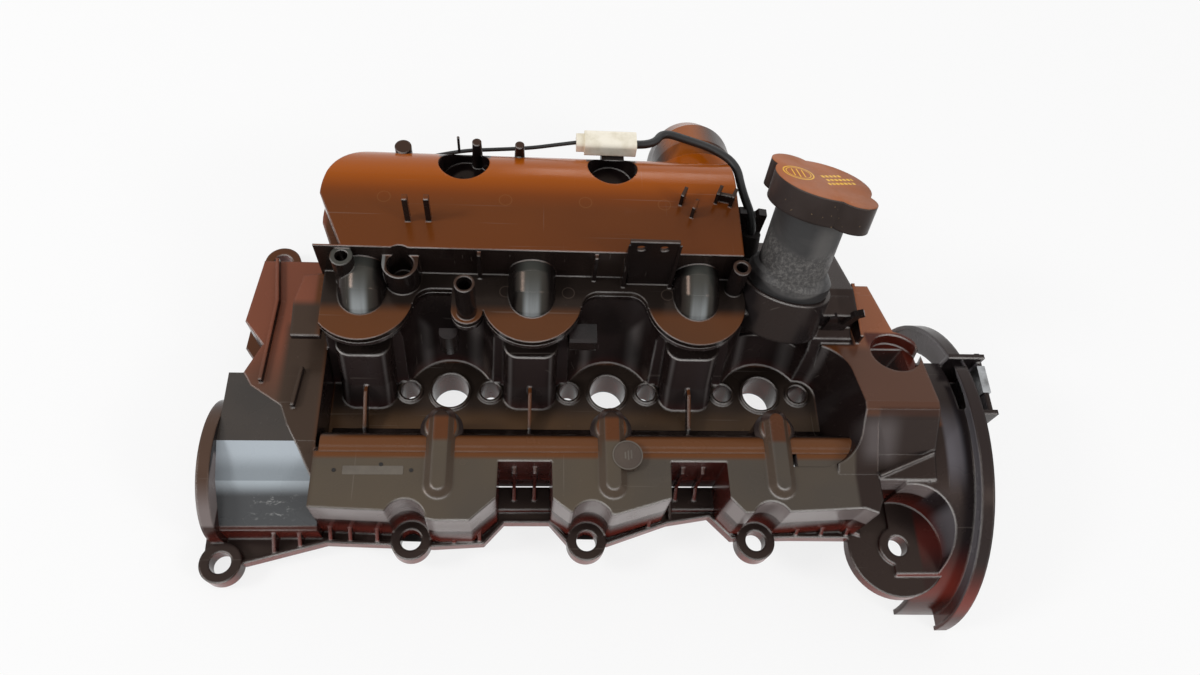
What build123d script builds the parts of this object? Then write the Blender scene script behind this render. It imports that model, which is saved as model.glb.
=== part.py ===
"""Engine valve cover of a three-cylinder bank, with its intake manifold welded on top.

Millimetres. +X runs along the engine towards the belt end, +Y towards the manifold, +Z up.
The origin is on the axis of the middle injector well, in the plane of the cylinder head.
"""

from build123d import *
import math
import os

os.makedirs("parts", exist_ok=True)

# --- driving dimensions -------------------------------------------------------
pitch = 96.0                      # cylinder spacing
wall = 3.0                        # moulded wall
gap = 0.3                         # clearance between separate pieces
web = 2.0                         # thin ribs and fins

flange_top = 8.0                  # lip of the bolting flange
trough_floor = 3.5                # floor of the flange between lip and wall
lip = 2.2                         # thickness of the flange's outer lip
boss_top = 10.0                   # front bolt bosses
boss_radius = 11.5
bolt_radius = 6.0                 # bolt holes
rail_top = 52.0                   # cam tunnel along the front
hump_top = 56.0
scallop_y = -9.5                  # scallops behind the injectors
scallop_radius = 28.5
hump_y = -49.5                    # humps over the camshaft bearings
hump_long = 54.0
hump_wide = 16.0
floor_top = 22.0                  # floor of the injector valley
ring_top = 24.0                   # rings round the holes in the valley
well_radius = 11.0                # injector holes
well_ring = 12.6
stud_ring = 7.6                   # rings of the small bolt holes
stud_radius = 5.8
column_wide = 32.0                # runner columns
column_top = 60.0                 # ledge at the top of each runner column
seam_low = 72.0                   # underside of the weld flange
seam = 76.0                       # weld plane between the two shells
seam_top = 80.0                   # top of the upper weld flange
roof_top = 106.0                  # plenum roof

rail_front = -82.0
rail_back = -46.0
rail_left = -166.0
rail_right = 152.0
valley_right = 132.0
pocket_back = -55.0               # pockets in the front of the cam tunnel
plenum_front = 49.0
plenum_back = 134.0
plenum_left = -168.0
plenum_right = 72.0
plenum_floor = 64.0
roof_flat_end = 92.0              # where the roof starts to curve down
housing_back = 90.0               # rear wall of the cam housing
block_left = -219.0               # end housing on the left
block_top = 50.0
block_back = 73.0

shoulder_y = -35.0                # round shoulder at the rear end of each hump
shoulder_radius = 12.0
pocket_ribs = [-56.4, -44.5, 40.3, 52.1]
gussets = [-191.0, -177.0, -160.5, -149.3, -134.1, -90.4, -75.9, 23.5, 36.8, 112.7, 128.1, 143.7]

injector_x = [-pitch, 0.0, pitch]
runner_x = [-1.5 * pitch, -0.5 * pitch, 0.5 * pitch]
stud_x = [x + side * pitch / 4 for x in injector_x for side in (-1, 1)]
front_bosses = [(-219.0, -100.5), (-115.0, -88.0), (-13.7, -89.0), (87.1, -89.4), (174.2, -92.8)]
rear_bosses = [(-212.0, 98.0), (-100.0, 97.0), (20.0, 97.0), (155.0, 97.0)]

# intake runner: the bend that leads from the column into the plenum
bend_centre = (48.0, 66.0)        # Y and Z of the axis of the bend
bend_radius = 17.0
runner_outer = 13.7
runner_bore = 11.0
port_y = 6.0

ledge = (-84.7, 25.0)             # ledge under the middle screw post

# belt guard at the right end
guard_x = 212.0
guard_thick = 3.0
guard_centre = (-31.0, -41.0)
guard_rim = 103.0
guard_arch = 93.5
arch_left = 188.0
tool_radius = 27.0                # room round the last front bolt
nut_centre = (0.0, 33.0)          # Y and Z of the thread in the clip nut
nut_radius = 2.6

# right end plate, which slopes down to the rear
plate_ridge = (-24.0, 70.0)
plate_slope = 17.0
plate_hole = (173.0, 13.0)
plate_hole_radius = 15.2

# oil filler neck and cap, on an axis that stands upright when the cover is on its bank
neck_base = Vector(103.5, 48.0, 80.0)
neck_lean_y = 29.0
neck_lean_x = 8.0
neck_radius = 20.5
neck_bore = 16.5
neck_height = 52.0
collar_radius = 25.0
collar_height = 11.0
seat_radius = 27.2
cap_radius = 27.5
cap_lug_reach = 36.5
cap_height = 16.0
cap_start = 50.5
plug_depth = 12.0
seal_thick = 1.5
spigot_radius = 18.5
cap_lug_angle = -62.0

neck_dir = Vector(math.sin(math.radians(neck_lean_x)), math.sin(math.radians(neck_lean_y)), 0.0)
neck_dir = Vector(neck_dir.X, neck_dir.Y, math.sqrt(1.0 - neck_dir.X**2 - neck_dir.Y**2))


def finish(part, name):
    """Label a finished piece and write it."""
    part.label = name
    export_step(part, f"parts/{name}.step")


def neck_plane(height):
    """Plane square to the filler neck, height above its base."""
    return Plane(origin=neck_base + neck_dir * height, x_dir=(1, 0, -neck_dir.X / neck_dir.Z), z_dir=neck_dir)


# --- outlines shared by several pieces ----------------------------------------
flange_points = [
    (-229.0, -93.0), (-207.0, -100.7), (-163.0, -89.0), (-102.0, -91.5), (-73.4, -90.0), (-62.0, -77.5),
    (-35.4, -77.6), (-25.0, -89.5), (-1.0, -90.3), (35.0, -78.0), (60.5, -74.0), (73.5, -87.5),
    (111.0, -87.0), (150.0, -87.5), (guard_x, -106.0), (guard_x, -60.0),
    (192.0, 10.0), (176.0, 30.0), (168.0, housing_back), (-188.0, housing_back), (-222.0, 92.0),
    (-226.0, 34.0), (-214.0, 18.0), (-222.0, 0.0), (-230.0, -60.0),
]
rail_points = [
    (rail_left, rail_front + 1), (-126.0, -83.0), (-98.0, -88.5), (-80.0, -88.6), (-66.0, -76.0),
    (-65.4, pocket_back), (-35.5, pocket_back), (-35.0, -76.5), (-25.2, -84.0), (0.0, -85.5), (31.0, -76.5),
    (31.7, pocket_back), (63.9, pocket_back), (64.2, -76.0), (72.0, -84.5), (98.0, rail_front - 2),
    (140.9, rail_front), (rail_right, -86.4), (rail_right, -62.0), (valley_right, -62.0),
    (valley_right - 6, rail_back - 2), (rail_left, rail_back + 2),
]
# notch in the left side of the end housing, seen from above
notch_points = [(-210.0, 90.0), (-210.0, 72.0), (-215.0, 31.0), (-203.0, 16.0), (-211.0, -2.0)]
block_points = [
    (block_back, 0.0), (block_back, block_top), (-43.0, block_top), (-63.0, 41.0), (-85.0, 20.0), (-85.0, 0.0),
]


def inset(points, amount):
    """Polygon drawn in by an amount, with its corners kept sharp."""
    count = len(points)
    area = sum(points[i - 1][0] * points[i][1] - points[i][0] * points[i - 1][1] for i in range(count))
    side = math.copysign(amount, area)
    corners = []
    for i in range(count):
        before, here, after = Vector(points[i - 1]), Vector(points[i]), Vector(points[(i + 1) % count])
        first, second = (here - before).normalized(), (after - here).normalized()
        normals = Vector(-first.Y, first.X) + Vector(-second.Y, second.X)
        corners.append(here + normals * (side / (1.0 + first.dot(second))))
    with BuildSketch(mode=Mode.PRIVATE) as drawn:
        Polygon(*[(corner.X, corner.Y) for corner in corners], align=None)
    return drawn.sketch


def hollow(points):
    """Inner side of a wall that follows an outline and is open below."""
    return inset([(across, up if up > 0 else -4 * wall) for across, up in points], wall)


def front_edge(points, x):
    """Y of the front side of an outline at a given X."""
    sides = zip(points, points[1:] + points[:1])
    return min(a[1] + (x - a[0]) * (b[1] - a[1]) / (b[0] - a[0]) for a, b in sides if (a[0] - x) * (b[0] - x) < 0)


def notch(grow):
    """Plan of what the notch takes off the end housing, grown by an amount towards the housing."""
    edge = [(x + grow, y) for x, y in notch_points]
    left = block_left - 20.0
    with BuildSketch(mode=Mode.PRIVATE) as plan:
        Polygon((left, edge[0][1]), *edge, (left, edge[-1][1] - grow), align=None)
    return plan.sketch


def lobes(inward, left):
    """Wavy outline round the runners, drawn in by an amount, in front of the plenum."""
    reach = 29.0
    valley = 38.5
    corner = 10.0
    start = valley + inward - corner
    with BuildSketch(mode=Mode.PRIVATE) as wave:
        with Locations(((left + plenum_right) / 2, (start + plenum_front) / 2)):
            Rectangle(plenum_right - left, plenum_front - start)
        # rounded bays between the runners
        with Locations(*[(x, valley + inward - 20.0) for x in injector_x[:2]]):
            RectangleRounded(pitch - 2 * reach + 2 * inward, 40.0, corner, mode=Mode.SUBTRACT)
        with Locations(*[(x, 34.0) for x in runner_x]):
            Circle(reach - inward)
        with Locations(ledge):
            Circle(9.0 - inward)
        with Locations((ledge[0], (ledge[1] + plenum_front) / 2)):
            Rectangle(18.0 - 2 * inward, plenum_front - ledge[1])
        with Locations((left - 20.0, 34.0)):
            Rectangle(40.0, 80.0, mode=Mode.SUBTRACT)
        with Locations(((left + plenum_right) / 2, plenum_front + 20.0)):
            Rectangle(plenum_right - left + 60.0, 40.0, mode=Mode.SUBTRACT)
    return wave.sketch


def plenum_sketch(inward):
    """Side view of the plenum, drawn in by an amount."""
    back = plenum_back - inward
    roof = roof_top - inward
    with BuildSketch(mode=Mode.PRIVATE) as side:
        with BuildLine():
            Polyline((back, seam), (plenum_front + inward, seam), (plenum_front + inward, roof), (roof_flat_end, roof))
            ThreePointArc((roof_flat_end, roof), (back - 11.5, seam + 19.5), (back, seam))
        make_face()
    return side.sketch


def plan_sketch(inward):
    """Plan of the plenum, with its large rounded corner at the left rear."""
    corner = 46.0
    left = plenum_left + inward
    back = plenum_back - inward
    right = plenum_right - inward
    front = plenum_front + inward
    with BuildSketch(mode=Mode.PRIVATE) as plan:
        with BuildLine():
            Polyline((left, 84.0), (left + 15.0, front), (right, front), (right, back), (left + corner, back))
            RadiusArc((left + corner, back), (left, 84.0), -corner * 1.06)
        make_face()
    return plan.sketch


# --- lower moulding: cam tunnel, injector valley, runner columns, housings, belt guard --
slope = math.tan(math.radians(plate_slope))
plate_back = 70.0
end_points = [
    (-62.0, 0.0), (-62.0, rail_top), (-36.0, 65.0), (-29.0, 69.5), plate_ridge,
    (plate_back, plate_ridge[1] - slope * (plate_back - plate_ridge[0])), (plate_back, 0.0),
]
neck_block_points = [
    (5.0, 0.0), (5.0, floor_top), (21.0, 60.0), (28.0, 62.0), (28.0, 77.0), (42.0, 78.5), (96.0, 50.0), (96.0, 0.0),
]
# plane of the plate, at its hole
plate_plane = Plane(
    origin=(plate_hole[0], plate_hole[1], plate_ridge[1] - slope * (plate_hole[1] - plate_ridge[0])),
    x_dir=(1, 0, 0), z_dir=(0, slope, 1),
)
# inlet duct behind the plenum
inlet_x = 57.0
inlet_z = 61.0
inlet_radius = 26.0
inlet_bend = 27.0
inlet_y = plenum_back + 4.0
# sensor on the slope behind the neck
sensor_radius = 4.7
sensor_tall = 16.0
sensor_foot = (88.0, 80.0)
block_slope = math.atan((neck_block_points[5][1] - neck_block_points[6][1]) / (96.0 - 42.0))
sensor_foot_z = neck_block_points[6][1] + (96.0 - sensor_foot[1]) * math.tan(block_slope)
sensor_plane = Plane(
    origin=(sensor_foot[0], sensor_foot[1], sensor_foot_z), x_dir=(1, 0, 0),
    z_dir=(0, math.sin(block_slope), math.cos(block_slope)),
)
# right end beyond the cam tunnel, up to the belt guard
shelf_points = [
    (-64.0, 0.0), (-64.0, 48.0), (-50.0, 52.0), (-34.0, 66.0), (-29.0, 69.5), plate_ridge,
    (plate_back, plate_ridge[1] - slope * (plate_back - plate_ridge[0])), (plate_back, 0.0),
]
rear_points = [
    (5.0, 0.0), (5.0, floor_top), (18.0, column_top), (18.0, seam_low), (housing_back, seam_low), (housing_back, 0.0),
]



def elbow(turn):
    """Corners of a quarter turn in mitred segments, as pairs that go from (0, 0) to (turn, turn)."""
    steps = 4
    reach = turn / math.cos(math.radians(45.0 / steps))
    corners = [(0.0, 0.0)]
    for i in range(steps):
        angle = math.radians(90.0 * (i + 0.5) / steps)
        corners.append((turn - reach * math.cos(angle), reach * math.sin(angle)))
    corners.append((turn, turn))
    return corners


def bends(radius):
    """Quarter bends of the three runners, and their straight ends into the plenum."""
    foot = bend_centre[0] - bend_radius
    route = [(foot + across, bend_centre[1] + up) for across, up in elbow(bend_radius)]
    route[-1] = (route[-1][0] + 5.0, route[-1][1])
    with BuildPart() as turns:
        for x in runner_x:
            with BuildLine():
                Polyline(*[(x, y, z) for y, z in route])
            with BuildSketch(Plane.XY.offset(bend_centre[1])):
                with Locations((x, foot)):
                    Circle(radius)
            sweep(transition=Transition.RIGHT)
    return turns.part


def leaning(centres, lean, low, high, radius):
    """Cylinders that lean back, each through its centre at height zero, trimmed level at two heights."""
    axis = Vector(0.0, *lean)
    with BuildPart() as pillars:
        for x, y in centres:
            with BuildSketch(Plane(origin=(x, y, 0.0), x_dir=(1, 0, 0), z_dir=axis).offset(low - 2 * radius)):
                Circle(radius)
            extrude(amount=(high - low) * axis.length / axis.Z + 4 * radius)
        split(bisect_by=Plane.XY.offset(low), keep=Keep.TOP)
        split(bisect_by=Plane.XY.offset(high), keep=Keep.BOTTOM)
    return pillars.part


def ducts(radius):
    """Straight legs of the three runners, from the ports in the head up to the bends, a little slimmer than these."""
    lean = (bend_centre[0] - bend_radius - port_y, bend_centre[1])
    return leaning([(x, port_y) for x in runner_x], lean, 0.0, bend_centre[1] + 1.5, radius - 0.3)


def columns(inward):
    """Runner columns in front of the scallops, drawn in by an amount, leaning back as they rise."""
    with BuildPart() as column:
        for low, high, front, front_high in ((0.0, 36.0, -24.0, -3.0), (36.0, column_top, -3.0, 5.0)):
            with BuildSketch(Plane.XY.offset(low)):
                for x in runner_x:
                    with Locations((x, (front + 30.0) / 2)):
                        RectangleRounded(column_wide - 2 * inward, 30.0 - front - 2 * inward, 9.0 - inward)
            lean = Vector(0.0, front_high - front, high - low)
            extrude(amount=lean.length, dir=lean)
        if inward:
            split(bisect_by=Plane.XY.offset(column_top - inward), keep=Keep.BOTTOM)
    return column.part


def scallops(grow):
    """Slanted round scallops behind the injectors."""
    lean = (20.5, seam_low - floor_top)
    foot = scallop_y - floor_top * lean[0] / lean[1]
    return leaning([(x, foot) for x in injector_x], lean, floor_top - grow, seam_low, scallop_radius + grow)


def valley_end(grow):
    """Room at the right end of the valley, widening as it rises."""
    with BuildPart() as room:
        with BuildSketch(Plane.XY.offset(floor_top - grow)):
            with Locations((valley_right - 20.0, -20.0)):
                RectangleRounded(40.0 + 2 * grow, 60.0 + 2 * grow, 12.0 + grow)
        extrude(amount=seam_low - floor_top + grow, taper=-14.0)
    return room.part


def guard_disc(radius):
    """Disc about the belt guard's axis, cut off at its lower half, seen along X."""
    with BuildSketch(mode=Mode.PRIVATE) as disc:
        with Locations(guard_centre):
            Circle(radius)
        with Locations((guard_centre[0], guard_centre[1] - radius)):
            Rectangle(3 * radius, 2 * radius, mode=Mode.SUBTRACT)
    return disc.sketch


with BuildPart() as inside:
    # cam tunnel and the space under the valley
    with BuildSketch():
        add(inset(rail_points, wall))
    extrude(amount=rail_top - wall)
    with BuildSketch():
        with Locations(((rail_left + valley_right) / 2, -24.0)):
            Rectangle(valley_right - rail_left - 2 * wall, 64.0)
    extrude(amount=floor_top - wall)
    # cam housing behind the valley
    with BuildSketch(Plane.YZ.offset(rail_left + wall)):
        add(hollow(rear_points))
    extrude(amount=plenum_right + 6 - rail_left - 2 * wall)
    # end housing on the left
    with BuildSketch(Plane.YZ.offset(block_left + wall)):
        add(hollow(block_points))
    extrude(amount=rail_left - block_left - 2 * wall)
    with BuildSketch():
        add(notch(wall))
    extrude(amount=block_top, mode=Mode.SUBTRACT)
    # under the filler neck
    with BuildSketch(Plane.YZ.offset(plenum_right)):
        add(hollow(neck_block_points))
    extrude(amount=74.0 - wall)
    # right end
    with BuildSketch(Plane.YZ.offset(valley_right)):
        add(hollow(end_points))
    extrude(amount=rail_right - valley_right - wall)
    with BuildSketch(Plane.YZ.offset(rail_right - wall)):
        add(hollow(shelf_points))
        with Locations((20.0 + 50.0, 0.0)):
            Rectangle(100.0, 200.0, mode=Mode.SUBTRACT)
    extrude(amount=arch_left - rail_right - wall)
    # solid where the scallops and the valley's right wall dip into it
    add(scallops(wall), mode=Mode.SUBTRACT)
    add(valley_end(wall), mode=Mode.SUBTRACT)
    # inside the columns and the humps
    add(columns(wall))
    with BuildSketch():
        with Locations(*[(x - 1.5, hump_y) for x in injector_x]):
            SlotOverall(hump_long - 2 * wall, hump_wide - 2 * wall, rotation=90)
    extrude(amount=rail_top - 1.0)
    # solid round the room for each front bolt
    with BuildSketch():
        with Locations(*front_bosses[:4]):
            Circle(boss_radius + wall)
    extrude(amount=rail_top, mode=Mode.SUBTRACT)

tool_room = guard_disc(guard_arch)
with BuildPart() as tool_wall:
    with BuildSketch(Plane.YZ.offset(front_bosses[4][0] - 4.0)):
        add(tool_room)
    extrude(amount=guard_x - front_bosses[4][0] + 4.0)
    with BuildSketch():
        with Locations(front_bosses[4]):
            Circle(tool_radius + wall)
    extrude(amount=rail_top, mode=Mode.INTERSECT)

def throat(radius, front):
    """Round throat from the inlet duct into the plenum."""
    with BuildPart() as tube:
        with BuildSketch(Plane.XZ.offset(-front)):
            with Locations((inlet_x, inlet_z)):
                Circle(radius)
        extrude(amount=front - inlet_y)
    return tube.part


outer_throat = throat(inlet_radius, 96.0)
inner_throat = throat(inlet_radius - wall, 96.0 + wall)
outer_bends = bends(runner_outer)
inner_bends = bends(runner_bore)
outer_ducts = ducts(runner_outer)
inner_ducts = ducts(runner_bore)

cover_edge = [
    (block_left - 1, -2.0), (-211.0, -2.0), (-206.0, -10.0), (-188.0, -22.0), (-183.0, -34.0), (-176.0, -46.0),
    (-168.0, -62.0), (rail_left, -76.0), (rail_left, -90.0), (block_left - 1, -90.0),
]
with BuildPart() as end_cover:
    with BuildSketch(Plane.YZ.offset(block_left)):
        Polygon(*block_points, align=None)
        add(inset(block_points, wall), mode=Mode.SUBTRACT)
        with Locations((0.0, 0.0)):
            Rectangle(400.0, 2 * floor_top, mode=Mode.SUBTRACT)
    extrude(amount=rail_left - block_left)
    with BuildSketch():
        Polygon(*cover_edge, align=None)
    extrude(amount=roof_top, mode=Mode.INTERSECT)

with BuildPart() as cover_body:
    # bolting flange with its round bosses
    with BuildSketch():
        Polygon(*flange_points, align=None)
        with Locations(*front_bosses, *rear_bosses):
            Circle(boss_radius)
        with Locations(front_bosses[4]):
            Circle(tool_radius + wall)
    extrude(amount=flange_top)
    # trough between the lip of the flange and the wall
    with BuildSketch(Plane.XY.offset(trough_floor)):
        add(inset(flange_points, lip))
        with Locations(((block_left + rail_right) / 2, 430.0)):
            Rectangle(600.0, 1000.0, mode=Mode.SUBTRACT)
        with Locations((rail_right + 50.0, -100.0), (block_left - 50.0, -100.0)):
            Rectangle(100.0, 200.0, mode=Mode.SUBTRACT)
    extrude(amount=flange_top, mode=Mode.SUBTRACT)
    with BuildSketch():
        with Locations(*front_bosses[:4]):
            Circle(boss_radius)
    extrude(amount=flange_top)
    # cam tunnel, with its rear edge broken
    with BuildSketch():
        Polygon(*rail_points, align=None)
    extrude(amount=rail_top)
    with BuildSketch(Plane.YZ.offset(rail_left)):
        Polygon(
            (rail_back - 3.5, rail_top + 1.0), (rail_back - 3.5, rail_top), (rail_back + 2.0, rail_top - 6.0),
            (rail_back + 6.0, rail_top + 1.0), align=None,
        )
    extrude(amount=valley_right - 6.0 - rail_left, mode=Mode.SUBTRACT)
    # gussets between the lip and the wall
    for x in gussets:
        start = front_edge(flange_points, x) + 0.6 * lip
        end = 1.0 + (front_edge(rail_points, x) if x > rail_left else block_points[4][0])
        with BuildSketch(Plane.YZ.offset(x - web / 2)):
            Polygon((start, 0.0), (start, flange_top - 0.5), (end, flange_top + 8.0), (end, 0.0), align=None)
        extrude(amount=web)
    # ribs in the pockets of the tunnel
    for x in pocket_ribs:
        with BuildSketch(Plane.YZ.offset(x - web / 2)):
            Polygon(
                (pocket_back + 1, 44.0), (pocket_back - 3, 40.0), (pocket_back - 4, 16.0), (pocket_back - 12, 4.0),
                (pocket_back + 1, 4.0), align=None,
            )
        extrude(amount=web)
    # valley floor
    with BuildSketch():
        with Locations(((rail_left + valley_right) / 2, -15.0)):
            Rectangle(valley_right - rail_left, 60.0)
    extrude(amount=floor_top)
    # housing behind the valley, and the block under the filler neck
    with BuildSketch(Plane.YZ.offset(rail_left)):
        Polygon(*rear_points, align=None)
    extrude(amount=plenum_right + 6 - rail_left)
    with BuildSketch(Plane.YZ.offset(plenum_right)):
        Polygon(*neck_block_points, align=None)
    extrude(amount=74.0)
    # right end, with the plate that slopes to the rear
    with BuildSketch(Plane.YZ.offset(valley_right - 4)):
        Polygon(*end_points, align=None)
    extrude(amount=rail_right - valley_right + 4)
    with BuildSketch(Plane.YZ.offset(rail_right)):
        Polygon(*shelf_points, align=None)
    extrude(amount=arch_left - rail_right)
    with BuildSketch(Plane.XY.offset(45.0)):
        Polygon((rail_right, -64.0), (arch_left - 1.0, -50.0), (arch_left - 1.0, -48.0), (rail_right, -62.0), align=None)
    extrude(amount=9.5)
    # blade on the plate
    with BuildSketch(Plane.YZ.offset(150.0)):
        Polygon((20.0, 50.0), (20.0, 66.0), (57.0, 66.0), (57.0, 42.0), align=None)
    extrude(amount=web)
    # the right end narrows towards the rear, round the hole in its plate
    with BuildSketch():
        Polygon((176.5, 30.0), (168.0, 96.0), (230.0, 96.0), (230.0, 8.0), (189.0, 8.0), align=None)
        with Locations(plate_hole):
            Circle(plate_hole_radius + 2.2, mode=Mode.SUBTRACT)
    extrude(amount=roof_top, mode=Mode.SUBTRACT)
    # end housing on the left, with the round end of the cam tunnel
    with BuildSketch(Plane.YZ.offset(block_left)):
        Polygon(*block_points, align=None)
    extrude(amount=rail_left - block_left)
    with BuildSketch(Plane.XY.offset(flange_top)):
        add(notch(0.0))
    extrude(amount=block_top, mode=Mode.SUBTRACT)
    # fins along its top
    with BuildSketch(Plane.XY.offset(block_top - 1.0)):
        Polygon(
            (-202.6, block_back), (-200.6, block_back), (-196.7, 44.0), (-199.3, -8.0), (-201.3, -8.0),
            (-198.7, 44.0), align=None,
        )
        Polygon((-179.1, 0.4), (-177.1, 0.4), (-179.7, -23.2), (-181.7, -23.2), align=None)
    extrude(amount=5.0)
    add(end_cover.part, mode=Mode.SUBTRACT)
    with BuildSketch(Plane.YZ.offset(block_left - 7.0)):
        with Locations((-48.0, 14.0)):
            Circle(41.0)
        with Locations((-48.0, -30.0)):
            Rectangle(100.0, 60.0, mode=Mode.SUBTRACT)
    extrude(amount=7.0)
    # weld flange under the manifold, with its tongue on the left
    with BuildSketch(Plane.XY.offset(seam_low)):
        add(lobes(0.0, rail_left))
        Polygon((-165.0, 9.0), (-181.0, 9.0), (-182.0, 30.0), (-178.0, 48.0), (-165.0, 50.0), align=None)
    extrude(amount=seam - seam_low)
    with BuildSketch(Plane.XY.offset(seam_low)):
        add(plan_sketch(-4.0))
    extrude(amount=seam - seam_low)
    # lower half of the plenum
    with BuildSketch(Plane.XY.offset(plenum_floor)):
        add(plan_sketch(0.0))
    extrude(amount=seam - plenum_floor)
    # scallops behind the injectors, and the valley's right wall
    add(scallops(0.0), mode=Mode.SUBTRACT)
    add(valley_end(0.0), mode=Mode.SUBTRACT)
    # runner columns, each with a rib at its foot
    add(columns(0.0))
    for x in runner_x:
        with BuildSketch(Plane.YZ.offset(x - web / 2)):
            Polygon((-24.0, floor_top), (-33.0, floor_top), (-27.0, 30.0), (-8.0, 38.0), (0.0, 36.0), align=None)
        extrude(amount=web)
    # humps over the camshaft bearings
    for x in injector_x:
        with BuildSketch():
            with Locations((x - 1.5, hump_y)):
                SlotOverall(hump_long, hump_wide, rotation=90)
        extrude(amount=rail_top)
        with BuildSketch(Plane.XY.offset(rail_top)):
            with Locations((x - 1.5, hump_y)):
                SlotOverall(hump_long, hump_wide, rotation=90)
        extrude(amount=hump_top - rail_top, taper=45)
        with BuildSketch():
            with Locations((x - 1.5, shoulder_y)):
                Circle(shoulder_radius)
        extrude(amount=rail_top - 3.0)
        with BuildSketch(Plane.XY.offset(rail_top - 3.0)):
            with Locations((x - 1.5, shoulder_y)):
                Circle(shoulder_radius)
        extrude(amount=4.0, taper=40)
    # hollow it from below, and open the lower half of the plenum
    add(inside.part, mode=Mode.SUBTRACT)
    with BuildSketch(Plane.XY.offset(plenum_floor + wall)):
        add(plan_sketch(wall))
    extrude(amount=seam - plenum_floor, mode=Mode.SUBTRACT)
    # room round each bolt
    with BuildSketch(Plane.XY.offset(boss_top)):
        with Locations(*front_bosses[:4]):
            Circle(boss_radius)
    extrude(amount=roof_top, mode=Mode.SUBTRACT)
    with BuildSketch():
        with Locations(*front_bosses):
            Circle(boss_radius)
    extrude(amount=boss_top)
    # belt guard: arch, ring with its rim, and the wall between it and the tunnel
    with BuildSketch(Plane.YZ.offset(arch_left - wall)):
        add(guard_disc(guard_arch))
        with Locations((60.0, 0.0)):
            Rectangle(100.0, 200.0, mode=Mode.SUBTRACT)
        with Locations((-80.0, -40.0)):
            Rectangle(200.0, 80.0, mode=Mode.SUBTRACT)
    extrude(amount=wall)
    with BuildSketch(Plane.YZ.offset(arch_left - wall)):
        add(guard_disc(guard_arch))
        add(guard_disc(guard_arch - wall), mode=Mode.SUBTRACT)
        with Locations((65.0, 0.0)):
            Rectangle(100.0, 200.0, mode=Mode.SUBTRACT)
    extrude(amount=guard_x - arch_left + wall)
    with BuildSketch(Plane.YZ.offset(guard_x)):
        add(guard_disc(guard_rim))
        add(guard_disc(guard_arch - 8.0), mode=Mode.SUBTRACT)
    extrude(amount=guard_thick)
    with BuildSketch(Plane.YZ.offset(guard_x - 1.5)):
        add(guard_disc(guard_rim))
        add(guard_disc(guard_rim - 2.5), mode=Mode.SUBTRACT)
    extrude(amount=guard_thick + 5.0)
    add(tool_wall.part)
    with BuildSketch(Plane.XY.offset(boss_top)):
        with Locations(front_bosses[4]):
            Circle(tool_radius)
    extrude(amount=roof_top, mode=Mode.SUBTRACT)
    # pocket for the clip nut on the rim of the guard
    with BuildSketch(Plane.YZ.offset(guard_x - 3.0)):
        with Locations((-3.0, 35.0)):
            Rectangle(36.0, 40.0)
    extrude(amount=9.0, mode=Mode.SUBTRACT)
    with BuildSketch(Plane.XY.offset(15.0)):
        with Locations((220.5, -3.5)):
            Rectangle(23.0, 43.0)
    extrude(amount=wall)
    with BuildSketch(Plane.YZ.offset(229.0)):
        with Locations((-3.5, 32.0)):
            Rectangle(43.0, 34.0)
    extrude(amount=wall)
    for y in (15.0, -22.0):
        with BuildSketch(Plane.XZ.offset(-y)):
            Polygon((209.0, 15.0), (232.0, 15.0), (232.0, 54.0), (209.0 + (0 if y > 0 else 12), 54.0), align=None)
        extrude(amount=wall)
    # tubes of the injector wells and stud holes, down to the head
    with BuildSketch():
        with Locations(*[(x, 0.0) for x in injector_x]):
            Circle(well_ring)
        with Locations(*[(x, 0.0) for x in stud_x]):
            Circle(stud_ring)
    extrude(amount=ring_top)
    # runner ducts
    add(outer_ducts)
    add(outer_bends)
    add(outer_throat)
    split(bisect_by=Plane.XY.offset(seam), keep=Keep.BOTTOM)
    add(inner_throat, mode=Mode.SUBTRACT)
    add(inner_ducts, mode=Mode.SUBTRACT)
    add(inner_bends, mode=Mode.SUBTRACT)
    # holes
    with BuildSketch():
        with Locations(*[(x, 0.0) for x in injector_x]):
            Circle(well_radius)
        with Locations(*[(x, 0.0) for x in stud_x]):
            Circle(stud_radius)
        with Locations(*front_bosses, *rear_bosses):
            Circle(bolt_radius)
    extrude(amount=40.0, mode=Mode.SUBTRACT)
    with BuildSketch(plate_plane.offset(-8.0)):
        Circle(plate_hole_radius)
    extrude(amount=16.0, mode=Mode.SUBTRACT)
    with BuildSketch(Plane.YZ.offset(guard_x)):
        with Locations(nut_centre):
            Circle(nut_radius + 0.6)
    extrude(amount=30.0, mode=Mode.SUBTRACT)
    # seat of the filler neck
    with BuildSketch(neck_plane(-26.0)):
        Circle(seat_radius)
    extrude(amount=26.0)
    with BuildSketch(neck_plane(-40.0)):
        Circle(spigot_radius + gap)
    extrude(amount=60.0, mode=Mode.SUBTRACT)
    # room for the weld flange of the upper moulding
    with BuildSketch(Plane.XY.offset(seam)):
        add(lobes(-gap, rail_left))
    extrude(amount=seam_top, mode=Mode.SUBTRACT)
    # bore of the sensor behind the neck
    with BuildSketch(sensor_plane.offset(-20.0)):
        Circle(sensor_radius + gap)
    extrude(amount=25.0, mode=Mode.SUBTRACT)
finish(end_cover.part, "end_cover")
finish(cover_body.part, "cover_body")

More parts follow.
